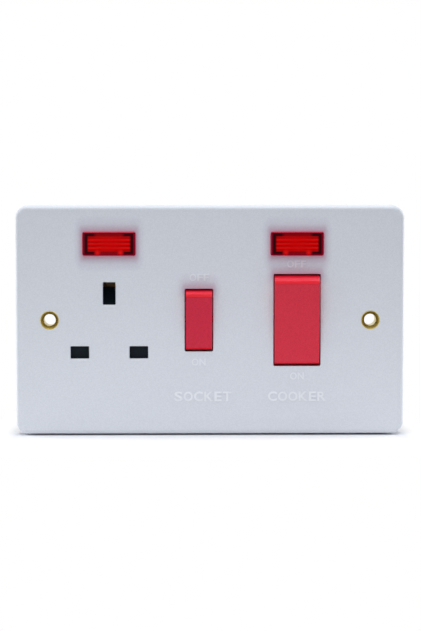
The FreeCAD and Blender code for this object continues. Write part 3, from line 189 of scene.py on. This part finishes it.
def middle_of(name):
    """The middle of a CAD node's box."""
    return [(low + high) / 2 for low, high in zip(*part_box(name))]


# Round the lenses and over the rockers the white is painted darker and redder: painted shade with a
# painted red glow.
red_shade_reach = 0.0060
red_shade_narrowing = 1.8


def paint_red_shade(finish, shader, x, z, half_width, half_height):
    """Paint shade and a red glow into a white round a lens or over a rocker: a painted shadow and
    painted red light.
    """
    tree = finish.node_tree
    place = tree.nodes["Texture Coordinate"].outputs["Object"]
    away = vector(tree, "ABSOLUTE", vector(tree, "SUBTRACT", place, (x, 0, z)))
    away = vector(tree, "SUBTRACT", away, (half_width, 0, half_height))
    away = vector(tree, "MAXIMUM", away, (0, 0, 0))
    away = vector(tree, "MULTIPLY", away, (red_shade_narrowing, 0, 1))
    painted_red_shade = ramp(tree, spread(tree, length_of(tree, away), 0.0, red_shade_reach, 0.0, 1.0),
                (0.0, (0.84, 0.50, 0.62)), (0.24, (0.79, 0.67, 0.73)), (0.5, (0.90, 0.87, 0.90)),
                (1.0, (1.0, 1.0, 1.0)))
    white = shader.inputs["Base Color"].links[0].from_socket
    put(tree, vector(tree, "MULTIPLY", white, painted_red_shade), shader.inputs["Base Color"])


white_plastic, white_shader = moulded(
    "white_moulding", dark=(0.635, 0.673, 0.748), light=(0.677, 0.715, 0.790),
    smooth=0.42, matte=0.54)
# The words are polished, and painted lighter than the plate: a painted sheen for the light they catch.
painted_light_letters, painted_light_letter_shader = moulded(
    "polished_letters_painted_light", dark=(0.785, 0.818, 0.885), light=(0.805, 0.838, 0.905),
    smooth=0.24, matte=0.30, relief=0.05)
lens_half_width = 0.0100
lens_half_height = 0.0045
rocker_half_widths = {"socket_rocker": 0.0052, "cooker_rocker": 0.0087}
# Paint the shade and red glow round each lens and over each rocker's top edge.
for finish, shader in ((white_plastic, white_shader), (painted_light_letters, painted_light_letter_shader)):
    for name in ("socket_neon_lens", "cooker_neon_lens"):
        x, _, z = middle_of(name)
        paint_red_shade(finish, shader, x, z, lens_half_width, lens_half_height)
    for name, half_width in rocker_half_widths.items():
        top_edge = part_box(name)[1][2]
        paint_red_shade(finish, shader, middle_of(name)[0], top_edge, half_width, 0.0)
wear(white_plastic, "face_plate")

face_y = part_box("face_plate")[0][1]
word_depth = 0.0002
letter_weight = 0.022
letter_gap = 0.13
letter_widths = {"O": 0.94, "C": 0.94, "S": 0.84, "K": 0.94, "E": 0.76, "T": 0.88, "R": 0.88,
                 "F": 0.74, "N": 0.86, "L": 0.66, "A": 0.92, "D": 0.90, "U": 0.86, "P": 0.80,
                 "Y": 0.90}


def cut_letter(letter, left, height):
    """One raised letter, lying flat, its left edge at a place along the word."""
    bpy.ops.object.text_add()
    shape = bpy.context.object
    shape.data.body = letter
    shape.data.offset = letter_weight
    shape.data.extrude = 0.5
    shape.data.resolution_u = 4
    bpy.ops.object.convert(target="MESH")
    span = shape.dimensions
    shape.scale = (letter_widths[letter] * height / span.x, height / span.y, 2 * word_depth)
    bpy.ops.object.transform_apply(location=False, rotation=False, scale=True)
    low_corner = Vector(shape.bound_box[0])
    shape.location = (left - low_corner.x, -low_corner.y, 0)
    bpy.ops.object.transform_apply(location=True, rotation=False, scale=False)
    return shape


def raise_word(name, text, x, z, height, level=face_y, turn=0.0, finish=painted_light_letters,
               slot="white_moulding"):
    """A word moulded in relief on an upright face, its middle at a place."""
    bpy.ops.object.select_all(action="DESELECT")
    left = 0.0
    letters = []
    for letter in text:
        letters.append(cut_letter(letter, left, height))
        left += (letter_widths[letter] + letter_gap) * height
    for shape in letters:
        shape.select_set(True)
    if len(letters) > 1:
        bpy.ops.object.join()
    word = bpy.context.object
    word.name = name
    word.rotation_euler = (math.pi / 2, 0, turn)
    bpy.ops.object.transform_apply(location=False, rotation=True, scale=False)
    middle = sum((Vector(corner) for corner in word.bound_box), Vector()) / 8
    word.location = (x - middle.x, level, z - middle.z)
    bpy.ops.object.transform_apply(location=True, rotation=False, scale=False)
    word.data.materials.append(finish)
    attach(word, "unit")


switch_letter = 0.0027
name_letter = 0.0036
raise_word("word_socket_off", "OFF", -0.0041, 0.0161, switch_letter)
raise_word("word_socket_on", "ON", -0.0043, -0.0158, switch_letter)
raise_word("word_socket", "SOCKET", -0.0027, -0.0288, name_letter)
raise_word("word_cooker_off", "OFF", 0.0325, 0.0211, switch_letter)
raise_word("word_cooker_on", "ON", 0.0327, -0.0211, switch_letter)
raise_word("word_cooker", "COOKER", 0.0327, -0.0288, name_letter)


# Fixing bushes: two brass eyelets turned from bar and pressed into the plate.
# Each is open for the head of the wall screw and shows the faint rings of the tool.
def number(tree, operation, *values):
    """A number worked out from others."""
    return worked(tree, "ShaderNodeMath", operation, *values)["Value"]


metal_grain = 1400.0
metal_drift = 160.0


def metal(name, dark, light, smooth, matte, drawn=(1, 1, 1)):
    """A bare metal: a drift of colour and gloss, the grain drawn out along an axis."""
    finish, shader, place = new_finish(name)
    tree = finish.node_tree
    marks = grained(tree, vector(tree, "MULTIPLY", place, drawn), metal_grain, metal_drift)
    colour = ramp(tree, marks["Tone"], (tone_low, dark), (tone_high, light))
    gloss = spread(tree, marks["Height"], tone_low, tone_high, smooth, matte)
    put(tree, colour, shader.inputs["Base Color"])
    put(tree, gloss, shader.inputs["Roughness"])
    shader.inputs["Metallic"].default_value = 1.0
    return finish, shader, place


ring_pitch = 0.00016
ring_depth = 0.00001
turned_brass, shader, place = metal(
    "turned_brass", dark=(0.50, 0.40, 0.12), light=(0.66, 0.55, 0.20), smooth=0.24, matte=0.36)
tree = turned_brass.node_tree
bush_x = middle_of("fixing_bush_right")[0]
from_axis = vector(tree, "SUBTRACT", vector(tree, "ABSOLUTE", place), (bush_x, 0, 0))
radius = length_of(tree, vector(tree, "MULTIPLY", from_axis, (1, 0, 1)))
rings = number(tree, "SINE", number(tree, "MULTIPLY", radius, 2 * math.pi / ring_pitch))
bumped(tree, shader, rings, strength=0.3, distance=ring_depth)
wear(turned_brass, "fixing_bush_left", "fixing_bush_right")


# Neon lenses: red see-through mouldings that come up through the plate from behind.
# The window in the middle shows ribs moulded on its inner face, painted as stripes of light and
# shade, with the pocket walls round it painted dark as shade. The rim round them is painted
# lighter and the proud sides a bright red glow, as light carried in the red plastic; two painted
# pools of lamp light lie on the lower wall.
def component(tree, arrow, axis):
    """One component of a vector."""
    return add_node(tree, "ShaderNodeSeparateXYZ", Vector=arrow).outputs[axis]


def within(tree, reach, half_width, half_height, blur=0.0003):
    """A mask of a rectangle, with soft edges, from distances to its middle."""
    across = spread(tree, component(tree, reach, "X"), half_width - blur, half_width + blur, 1.0, 0.0)
    up = spread(tree, component(tree, reach, "Z"), half_height - blur, half_height + blur, 1.0, 0.0)
    return number(tree, "MULTIPLY", across, up)


def blend(tree, mask, below, above):
    """One colour over another where a mask is 1."""
    node = tree.nodes.new("ShaderNodeMix")
    node.data_type = "RGBA"
    colours = [socket for socket in node.inputs if socket.type == "RGBA"]
    put(tree, mask, node.inputs["Factor"])
    put(tree, below, colours[0])
    put(tree, above, colours[1])
    return next(socket for socket in node.outputs if socket.type == "RGBA")


rib_pitch = 0.0015
faint_ribs_to, full_ribs_from = 0.0015, 0.006
faint_rib = 0.4
front_half_width, front_half_height = 0.00986, 0.00434
front_blur = 0.00006
level_blur = 0.0001
wall_half_width, wall_half_height = 0.0092, 0.0039
window_half_width, window_half_height = 0.0079, 0.00275
spot_aside, spot_drop = 0.0043, 0.0033
spot_core, spot_size = 0.0002, 0.0014
spot_strength = 0.9
# Painted light on the lens: the rim's red, the bright glow of its proud sides and the pools of lamp
# light.
rim_red = (0.24, 0.001, 0.016, 1.0)
painted_glow_red = (0.95, 0.10, 0.14, 1.0)
painted_lamp_pool_red = (0.85, 0.006, 0.006, 1.0)


def dress_lens(name):
    """The red of one lens, laid out about its own middle, with its light and shade painted in."""
    finish, shader, place = new_finish(f"{name}_red")
    tree = finish.node_tree
    offset = vector(tree, "SUBTRACT", place, middle_of(name))
    reach = vector(tree, "ABSOLUTE", offset)
    aside = component(tree, reach, "X")
    turns = number(tree, "MULTIPLY", component(tree, offset, "Z"), 2 * math.pi / rib_pitch)
    strength = spread(tree, aside, faint_ribs_to, full_ribs_from, faint_rib, 1.0)
    wave = number(tree, "MULTIPLY", number(tree, "COSINE", turns), strength)
    # The ribs are painted as stripes of light and shade.
    painted_rib_shading = ramp(tree, spread(tree, wave, -1.0, 1.0, 0.0, 1.0), (0.0, (0.40, 0.0, 0.0005)),
                (0.4, (0.62, 0.0005, 0.0008)), (1.0, (0.80, 0.004, 0.004)))
    # The pocket walls are painted dark as shade.
    painted_wall_shade = ramp(tree, spread(tree, aside, 0.0, lens_half_width, 0.0, 1.0),
                (0.45, (0.26, 0.0005, 0.003)), (0.60, (0.032, 0.0, 0.002)))
    proud = spread(tree, component(tree, place, "Y"), face_y - level_blur, face_y + level_blur, 1.0, 0.0)
    front = within(tree, reach, front_half_width, front_half_height, front_blur)
    # The proud sides are painted a bright red glow.
    colour = blend(tree, front, blend(tree, proud, rim_red, painted_glow_red), rim_red)
    colour = blend(tree, within(tree, reach, wall_half_width, wall_half_height), colour, painted_wall_shade)
    colour = blend(tree, within(tree, reach, window_half_width, window_half_height), colour, painted_rib_shading)
    # Two painted pools of lamp light on the lower wall.
    spot = vector(tree, "MULTIPLY", reach, (1, 0, 0))
    spot = vector(tree, "SUBTRACT", spot, (spot_aside, 0, spot_drop))
    spot = vector(tree, "ADD", spot, vector(tree, "MULTIPLY", offset, (0, 0, -1)))
    painted_lamp_pool = spread(tree, length_of(tree, spot), spot_core, spot_size, spot_strength, 0.0)
    put(tree, blend(tree, painted_lamp_pool, colour, painted_lamp_pool_red), shader.inputs["Base Color"])
    marks = grained(tree, place, grain=1500.0, drift=300.0)
    gloss = spread(tree, marks["Tone"], tone_low, tone_high, 0.10, 0.16)
    put(tree, gloss, shader.inputs["Roughness"])
    shader.inputs["Specular IOR Level"].default_value = 0.03
    wear(finish, name)


dress_lens("socket_neon_lens")
dress_lens("cooker_neon_lens")


# Lamps: small glass neon capsules lying across the lenses, each with a ballast resistor.
# The resistors are lacquered tan with coloured bands, and tinned wires join them up.
lamp_glass, shader, place = new_finish("lamp_glass")
tree = lamp_glass.node_tree
marks = grained(tree, place, grain=600.0, drift=250.0)
haze = ramp(tree, marks["Tone"], (tone_low, (0.80, 0.76, 0.70)), (tone_high, (0.90, 0.87, 0.83)))
gloss = spread(tree, marks["Height"], tone_low, tone_high, 0.05, 0.12)
put(tree, haze, shader.inputs["Base Color"])
put(tree, gloss, shader.inputs["Roughness"])
shader.inputs["Transmission Weight"].default_value = 0.6
wear(lamp_glass, "socket_neon_lamp", "cooker_neon_lamp")

resistor_low, resistor_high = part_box("socket_neon_resistor")
lacquer, shader, place = new_finish("resistor_lacquer")
tree = lacquer.node_tree
share = spread(tree, component(tree, place, "Y"), resistor_low[1], resistor_high[1], 0.0, 1.0)
tan = (0.62, 0.45, 0.27)
brown = (0.35, 0.12, 0.04)
black = (0.02, 0.02, 0.02)
gold = (0.75, 0.42, 0.03)
bands = ramp(tree, share, (0.16, tan), (0.18, brown), (0.28, brown), (0.30, tan),
             (0.42, tan), (0.44, black), (0.54, black), (0.56, tan),
             (0.68, tan), (0.70, gold), (0.80, gold), (0.82, tan))
put(tree, bands, shader.inputs["Base Color"])
shader.inputs["Roughness"].default_value = 0.35
wear(lacquer, "socket_neon_resistor", "cooker_neon_resistor")

tinned, _, _ = metal(
    "tinned_wire", dark=(0.52, 0.52, 0.53), light=(0.70, 0.70, 0.71), smooth=0.25, matte=0.42)
wear(tinned, "socket_neon_leads", "cooker_neon_leads")


# Rockers: red mouldings that snap into the carrier's bearings and push the plungers over.
# The wide one works the cooker and the narrow one the socket. Their faces are finely grained.
# The round ends that swing past the plate are painted a deeper red than the face, a painted
# shading, and their coated middle band also carries a painted highlight, a brighter red.
tilt = math.radians(8)
behind_rocker = (0, math.cos(tilt), math.sin(tilt))
cooker_pivot = -0.0034
socket_pivot = -0.0050
lip_fade = 0.0006
# Painted light on the rocker ends: a deeper red as painted shading, and a brighter red as a painted
# highlight under the coat.
painted_end_red = (0.64, 0.004, 0.016, 1.0)
painted_highlight_red = (0.82, 0.006, 0.030, 1.0)
# The red of an end begins the first depth inside the end's radius and is full at the second.
end_begins, end_full = 0.00030, 0.00012


def dress_rocker(name, pivot, end_radius, lip, dark, light):
    """The red of one rocker, its ends told from its face by their distance from the axis and given
    painted light.
    """
    finish, shader = moulded(f"{name}_red", dark, light, smooth=0.36, matte=0.48, relief=0.2)
    tree = finish.node_tree
    place = tree.nodes["Texture Coordinate"].outputs["Object"]
    arm = vector(tree, "MULTIPLY", vector(tree, "SUBTRACT", place, (0, pivot, 0)), (0, 1, 1))
    depth = worked(tree, "ShaderNodeVectorMath", "DOT_PRODUCT", arm, behind_rocker)["Value"]
    ends = spread(tree, length_of(tree, arm), end_radius - end_begins, end_radius - end_full, 0.0, 1.0)
    coat_and_painted_highlight = number(tree, "MULTIPLY", ends, spread(tree, depth, lip, lip + lip_fade, 0.0, 1.0))
    face_red = shader.inputs["Base Color"].links[0].from_socket
    # The ends take the painted deeper red, and the coated band the painted highlight.
    red = blend(tree, ends, face_red, painted_end_red)
    put(tree, blend(tree, coat_and_painted_highlight, red, painted_highlight_red), shader.inputs["Base Color"])
    put(tree, coat_and_painted_highlight, shader.inputs["Coat Weight"])
    shader.inputs["Coat Roughness"].default_value = 0.10
    shader.inputs["Specular IOR Level"].default_value = 0.12
    wear(finish, name)


dress_rocker("cooker_rocker", cooker_pivot, end_radius=0.01736, lip=-0.0072,
             dark=(0.63, 0.031, 0.059), light=(0.71, 0.039, 0.071))
dress_rocker("socket_rocker", socket_pivot, end_radius=0.01163, lip=-0.0050,
             dark=(0.58, 0.022, 0.055), light=(0.65, 0.029, 0.067))


# Shutter and plungers: small black mouldings. The shutter covers the line and neutral slots
# until a plug's earth pin pushes it down, and the plungers slide in the rockers' stalks,
# pressed on to the see-saws by their springs.
black_plastic, shader = moulded(
    "black_moulding", dark=(0.002, 0.006, 0.011), light=(0.004, 0.010, 0.018),
    smooth=0.40, matte=0.52, relief=0.15)
shader.inputs["Specular IOR Level"].default_value = 0.12
wear(black_plastic, "shutter", "cooker_line_plunger", "cooker_neutral_plunger", "socket_plunger")


# Carrier and rear cover: two cream mouldings behind the plate, drawn up to it by four screws.
# They hold the contacts and the terminals, and small polished letters raised on the cover
# name the terminals that the cables go to; the letters are painted lighter than the cover, a
# painted sheen.
cream_plastic, _ = moulded(
    "cream_moulding", dark=(0.66, 0.63, 0.55), light=(0.74, 0.71, 0.63),
    smooth=0.42, matte=0.56, relief=0.2)
wear(cream_plastic, "contact_carrier", "rear_cover")

# The cover's letters are painted lighter than the cover: a painted sheen for the light they catch.
painted_light_cream_letters, _ = moulded(
    "polished_cream_painted_light", dark=(0.80, 0.775, 0.70), light=(0.82, 0.795, 0.72),
    smooth=0.24, matte=0.30, relief=0.05)
cover_back = 0.0134
cooker_x = middle_of("cooker_rocker")[0]
earth_x = middle_of("earth_pin_contact")[0]
terminal_offset = 0.009
word_level = 0.0098
earth_level = -0.0012
use_letter = 0.0024
pole_letter = 0.0032
rear_face = {"level": cover_back, "turn": math.pi, "finish": painted_light_cream_letters,
             "slot": "cream_moulding"}
for use, z in (("load", word_level), ("supply", -word_level)):
    raise_word(f"word_{use}", use.upper(), cooker_x, z, use_letter, **rear_face)
    raise_word(f"word_{use}_line", "L", cooker_x + terminal_offset, z, pole_letter, **rear_face)
    raise_word(f"word_{use}_neutral", "N", cooker_x - terminal_offset, z, pole_letter, **rear_face)
raise_word("word_earth", "E", earth_x, earth_level, pole_letter, **rear_face)


# Conductors: brass terminals, straps and screws, and the see-saws that switch the current.
# They are stamped from rolled sheet or cut from bar, which draws their grain out one way,
# and lie in the cover's tray under the carrier.
strip_brass, _, _ = metal(
    "rolled_brass", dark=(0.50, 0.36, 0.13), light=(0.68, 0.52, 0.23), smooth=0.28, matte=0.44,
    drawn=(0.15, 1, 1))
wear(strip_brass, "line_supply_terminal", "neutral_supply_terminal", "line_load_terminal",
     "neutral_load_terminal", "line_link", "socket_fulcrum", "earth_strap", "terminal_screws",
     "cooker_line_moving_contact", "cooker_neutral_moving_contact", "socket_moving_contact")


# Socket clips: springy bronze leaves behind the slots, which grip the plug's pins.
# They are bent from strip and are browner than the brass.
clip_bronze, _, _ = metal(
    "clip_bronze", dark=(0.30, 0.17, 0.09), light=(0.40, 0.24, 0.13), smooth=0.34, matte=0.48,
    drawn=(1, 0.15, 1))
wear(clip_bronze, "line_pin_contact", "neutral_pin_contact", "earth_pin_contact")


# Contact tips: silver buttons riveted to the fixed strips and to the see-saws.
# The two of each pair meet when the switch is on.
silver, _, _ = metal(
    "contact_silver", dark=(0.66, 0.65, 0.62), light=(0.84, 0.83, 0.80), smooth=0.25, matte=0.38)
wear(silver, "cooker_line_fixed_tip", "cooker_neutral_fixed_tip", "socket_fixed_tip",
     "cooker_line_moving_tip", "cooker_neutral_moving_tip", "socket_moving_tip")


# Springs: bright steel wire wound with closed ends, one behind each plunger and one under the
# shutter. Each is seated at one end and wound at a fixed length, so it does not shorten as its
# plunger or shutter comes down on it.
zinc, _, _ = metal(
    "zinc_steel", dark=(0.50, 0.50, 0.52), light=(0.66, 0.66, 0.68), smooth=0.26, matte=0.42)
wire_radius = 0.00025
wire_sides = 8
steps_per_turn = 20
end_clearance = 0.00002


def pick(piece):
    """Make a piece the only one selected, and the active one."""
    bpy.ops.object.select_all(action="DESELECT")
    piece.select_set(True)
    bpy.context.view_layer.objects.active = piece


def wind_spring(length, radius, turns):
    """A spring wound upwards from the origin, its first and last turns closed."""
    bpy.ops.object.select_all(action="DESELECT")
    bpy.ops.mesh.primitive_circle_add(vertices=wire_sides, radius=wire_radius,
                                      location=(radius, 0, 0), rotation=(math.pi / 2, 0, 0))
    spring = bpy.context.object
    bpy.ops.object.transform_apply(location=True, rotation=True, scale=True)
    winding = spring.modifiers.new("winding", "SCREW")
    winding.iterations = turns
    winding.steps = winding.render_steps = steps_per_turn
    bpy.ops.object.modifier_apply(modifier=winding.name)
    closed_pitch = 2 * wire_radius
    open_pitch = (length - 2 * end_clearance - 3 * closed_pitch) / (turns - 2)
    for vertex in spring.data.vertices:
        turn = vertex.index // wire_sides / steps_per_turn
        open_turns = min(max(turn - 1, 0), turns - 2)
        rise = open_turns * open_pitch + (turn - open_turns) * closed_pitch
        vertex.co.z += end_clearance + wire_radius + rise
    bpy.ops.object.mode_set(mode="EDIT")
    bpy.ops.mesh.select_all(action="SELECT")
    bpy.ops.mesh.fill_holes(sides=wire_sides)
    bpy.ops.mesh.select_all(action="SELECT")
    bpy.ops.mesh.normals_make_consistent(inside=False)
    bpy.ops.object.mode_set(mode="OBJECT")
    bpy.ops.object.shade_smooth_by_angle(angle=math.radians(50))
    spring.data.materials.append(zinc)
    return spring


def copied(spring):
    """Another spring of the same winding, with a mesh of its own."""
    pick(spring)
    bpy.ops.object.duplicate()
    return bpy.context.object


def seat_spring(spring, node, body, seat, along):
    """Stand a spring on its seat and ride it on its body."""
    spring.name = f"{node}_wound"
    spring.rotation_euler = Vector(along).to_track_quat("Z", "Y").to_euler()
    spring.location = seat
    pick(spring)
    bpy.ops.object.transform_apply(location=True, rotation=True, scale=True)
    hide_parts(node)
    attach(spring, body)
    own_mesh(spring)


plunger_head = -0.00238
plunger_coil_radius = 0.00115
plunger_turns = 6
for rocker, pivot, seat_depth, names in (
        ("cooker_rocker", cooker_pivot, -0.0090, ("cooker_line", "cooker_neutral")),
        ("socket_rocker", socket_pivot, -0.0084, ("socket",))):
    length = plunger_head - seat_depth
    foot = seat_depth - pivot
    springs = [wind_spring(length, plunger_coil_radius, plunger_turns)]
    while len(springs) < len(names):
        springs.append(copied(springs[0]))
    for name, spring in zip(names, springs):
        x = middle_of(f"{name}_spring")[0]
        seat = (x, pivot + foot * math.cos(tilt), foot * math.sin(tilt))
        seat_spring(spring, f"{name}_spring", rocker,
                    seat, behind_rocker)

shutter_coil_length = 0.0116
shutter_coil_radius = 0.0014
shutter_turns = 8
shutter_seat = (middle_of("shutter_spring")[0], -0.0042, -0.0272)
seat_spring(wind_spring(shutter_coil_length, shutter_coil_radius, shutter_turns), "shutter_spring",
            "unit", shutter_seat, (0, 0, 1))


# Assembly screws: four of zinc-plated steel, driven from behind through the cover and the
# carrier into the plate, so that none shows from the front.
wear(zinc, "assembly_screws")


# Studio: a pale floor under the plate's lower edge, which fades to white away from the unit and
# keeps its shadow, soft lamps above and in front, and the camera of the photograph. Close to the
# unit the floor is also painted grey, a painted shadow.
# The plate stands a hair above the floor, so that a dark line shows under it.
plate_low, plate_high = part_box("face_plate")
unit_back = cad_box[1][1]
floor_size = 0.32
floor_gap = 0.0006
bpy.ops.object.select_all(action="DESELECT")
bpy.ops.mesh.primitive_plane_add(size=floor_size, location=(0, 0, plate_low[2] - floor_gap))
floor = bpy.context.object
floor.name = "floor"
paper, shader, place = new_finish("floor_paper")
tree = paper.node_tree
shader.inputs["Roughness"].default_value = 0.9


def seen(tree):
    """1 for rays from the camera, a reflection or a see-through piece."""
    path = tree.nodes.new("ShaderNodeLightPath").outputs
    either = number(tree, "MAXIMUM", path["Is Camera Ray"], path["Is Glossy Ray"])
    return number(tree, "MAXIMUM", either, path["Is Transmission Ray"])


side_narrowing = 6.0
painted_shadow_reach = 0.030
fade_start, fade_end = 0.006, 0.06
floor_white = (0.9, 0.9, 0.9, 1.0)
painted_shadow_grey = (0.72, 0.73, 0.77, 1.0)
footprint = ((plate_high[0] - plate_low[0]) / 2, (unit_back - plate_low[1]) / 2, 0)
footprint_middle = (0, (unit_back + plate_low[1]) / 2, 0)
outside = vector(tree, "ABSOLUTE", vector(tree, "SUBTRACT", place, footprint_middle))
outside = vector(tree, "MAXIMUM", vector(tree, "SUBTRACT", outside, footprint), (0, 0, 0))
outside = vector(tree, "MULTIPLY", outside, (side_narrowing, 1, 1))
distance = length_of(tree, outside)
# Close to the unit the floor's colour is painted grey for camera and reflected rays: a painted shadow.
painted_shadow = number(tree, "MULTIPLY", spread(tree, distance, 0.0, painted_shadow_reach, 1.0, 0.0), seen(tree))
put(tree, blend(tree, painted_shadow, floor_white, painted_shadow_grey), shader.inputs["Base Color"])
fade = spread(tree, distance, fade_start, fade_end, 0.0, 1.0)
fade = number(tree, "MULTIPLY", fade, seen(tree))
glow = add_node(tree, "ShaderNodeEmission", Color=(1, 1, 1, 1), Strength=1.0)
mix = tree.nodes.new("ShaderNodeMixShader")
for target, value in zip(mix.inputs, (fade, shader.outputs["BSDF"], glow.outputs["Emission"])):
    put(tree, value, target)
put(tree, mix.outputs["Shader"], tree.nodes["Material Output"].inputs["Surface"])
floor.data.materials.append(paper)

room_light = 0.30
world = bpy.data.worlds.new("studio")
bpy.context.scene.world = world
world.use_nodes = True
tree = world.node_tree
sky = tree.nodes["Background"]
sky.inputs["Color"].default_value = (1, 1, 1, 1)
put(tree, spread(tree, seen(tree), 0.0, 1.0, room_light, 1.0), sky.inputs["Strength"])


def aimed(place, aim):
    """Angles that point an object's -Z from a place to a point, its Y up."""
    return (Vector(aim) - Vector(place)).to_track_quat("-Z", "Y").to_euler()


def softbox(name, place, size, power):
    """A square soft lamp turned towards the unit."""
    lamp = bpy.data.lights.new(name, "AREA")
    lamp.energy = power
    lamp.size = size
    holder = bpy.data.objects.new(name, lamp)
    bpy.context.collection.objects.link(holder)
    holder.location = place
    holder.rotation_euler = aimed(place, (0, 0, 0))


softbox("key_above", (0.0, -0.30, 1.40), size=1.2, power=19.9)
softbox("fill_front", (-0.4, -0.9, 0.20), size=0.8, power=0.9)
softbox("edge_left", (-0.55, 0.20, 0.10), size=0.4, power=2.0)
softbox("edge_right", (0.55, 0.20, 0.10), size=0.4, power=2.0)

view_distance = 0.88
view_rise = math.radians(4.5)
view_side = -0.014
aim_point = Vector((0.00015, face_y, 0.00175))
camera_data = bpy.data.cameras.new("camera")
camera_data.lens = 133.6
camera_data.sensor_width = 36.0
camera = bpy.data.objects.new("camera", camera_data)
bpy.context.collection.objects.link(camera)
camera.location = (view_side, aim_point.y - view_distance * math.cos(view_rise),
                   aim_point.z + view_distance * math.sin(view_rise))
camera.rotation_euler = aimed(camera.location, aim_point)
bpy.context.scene.camera = camera

bpy.context.scene.view_settings.view_transform = "Standard"
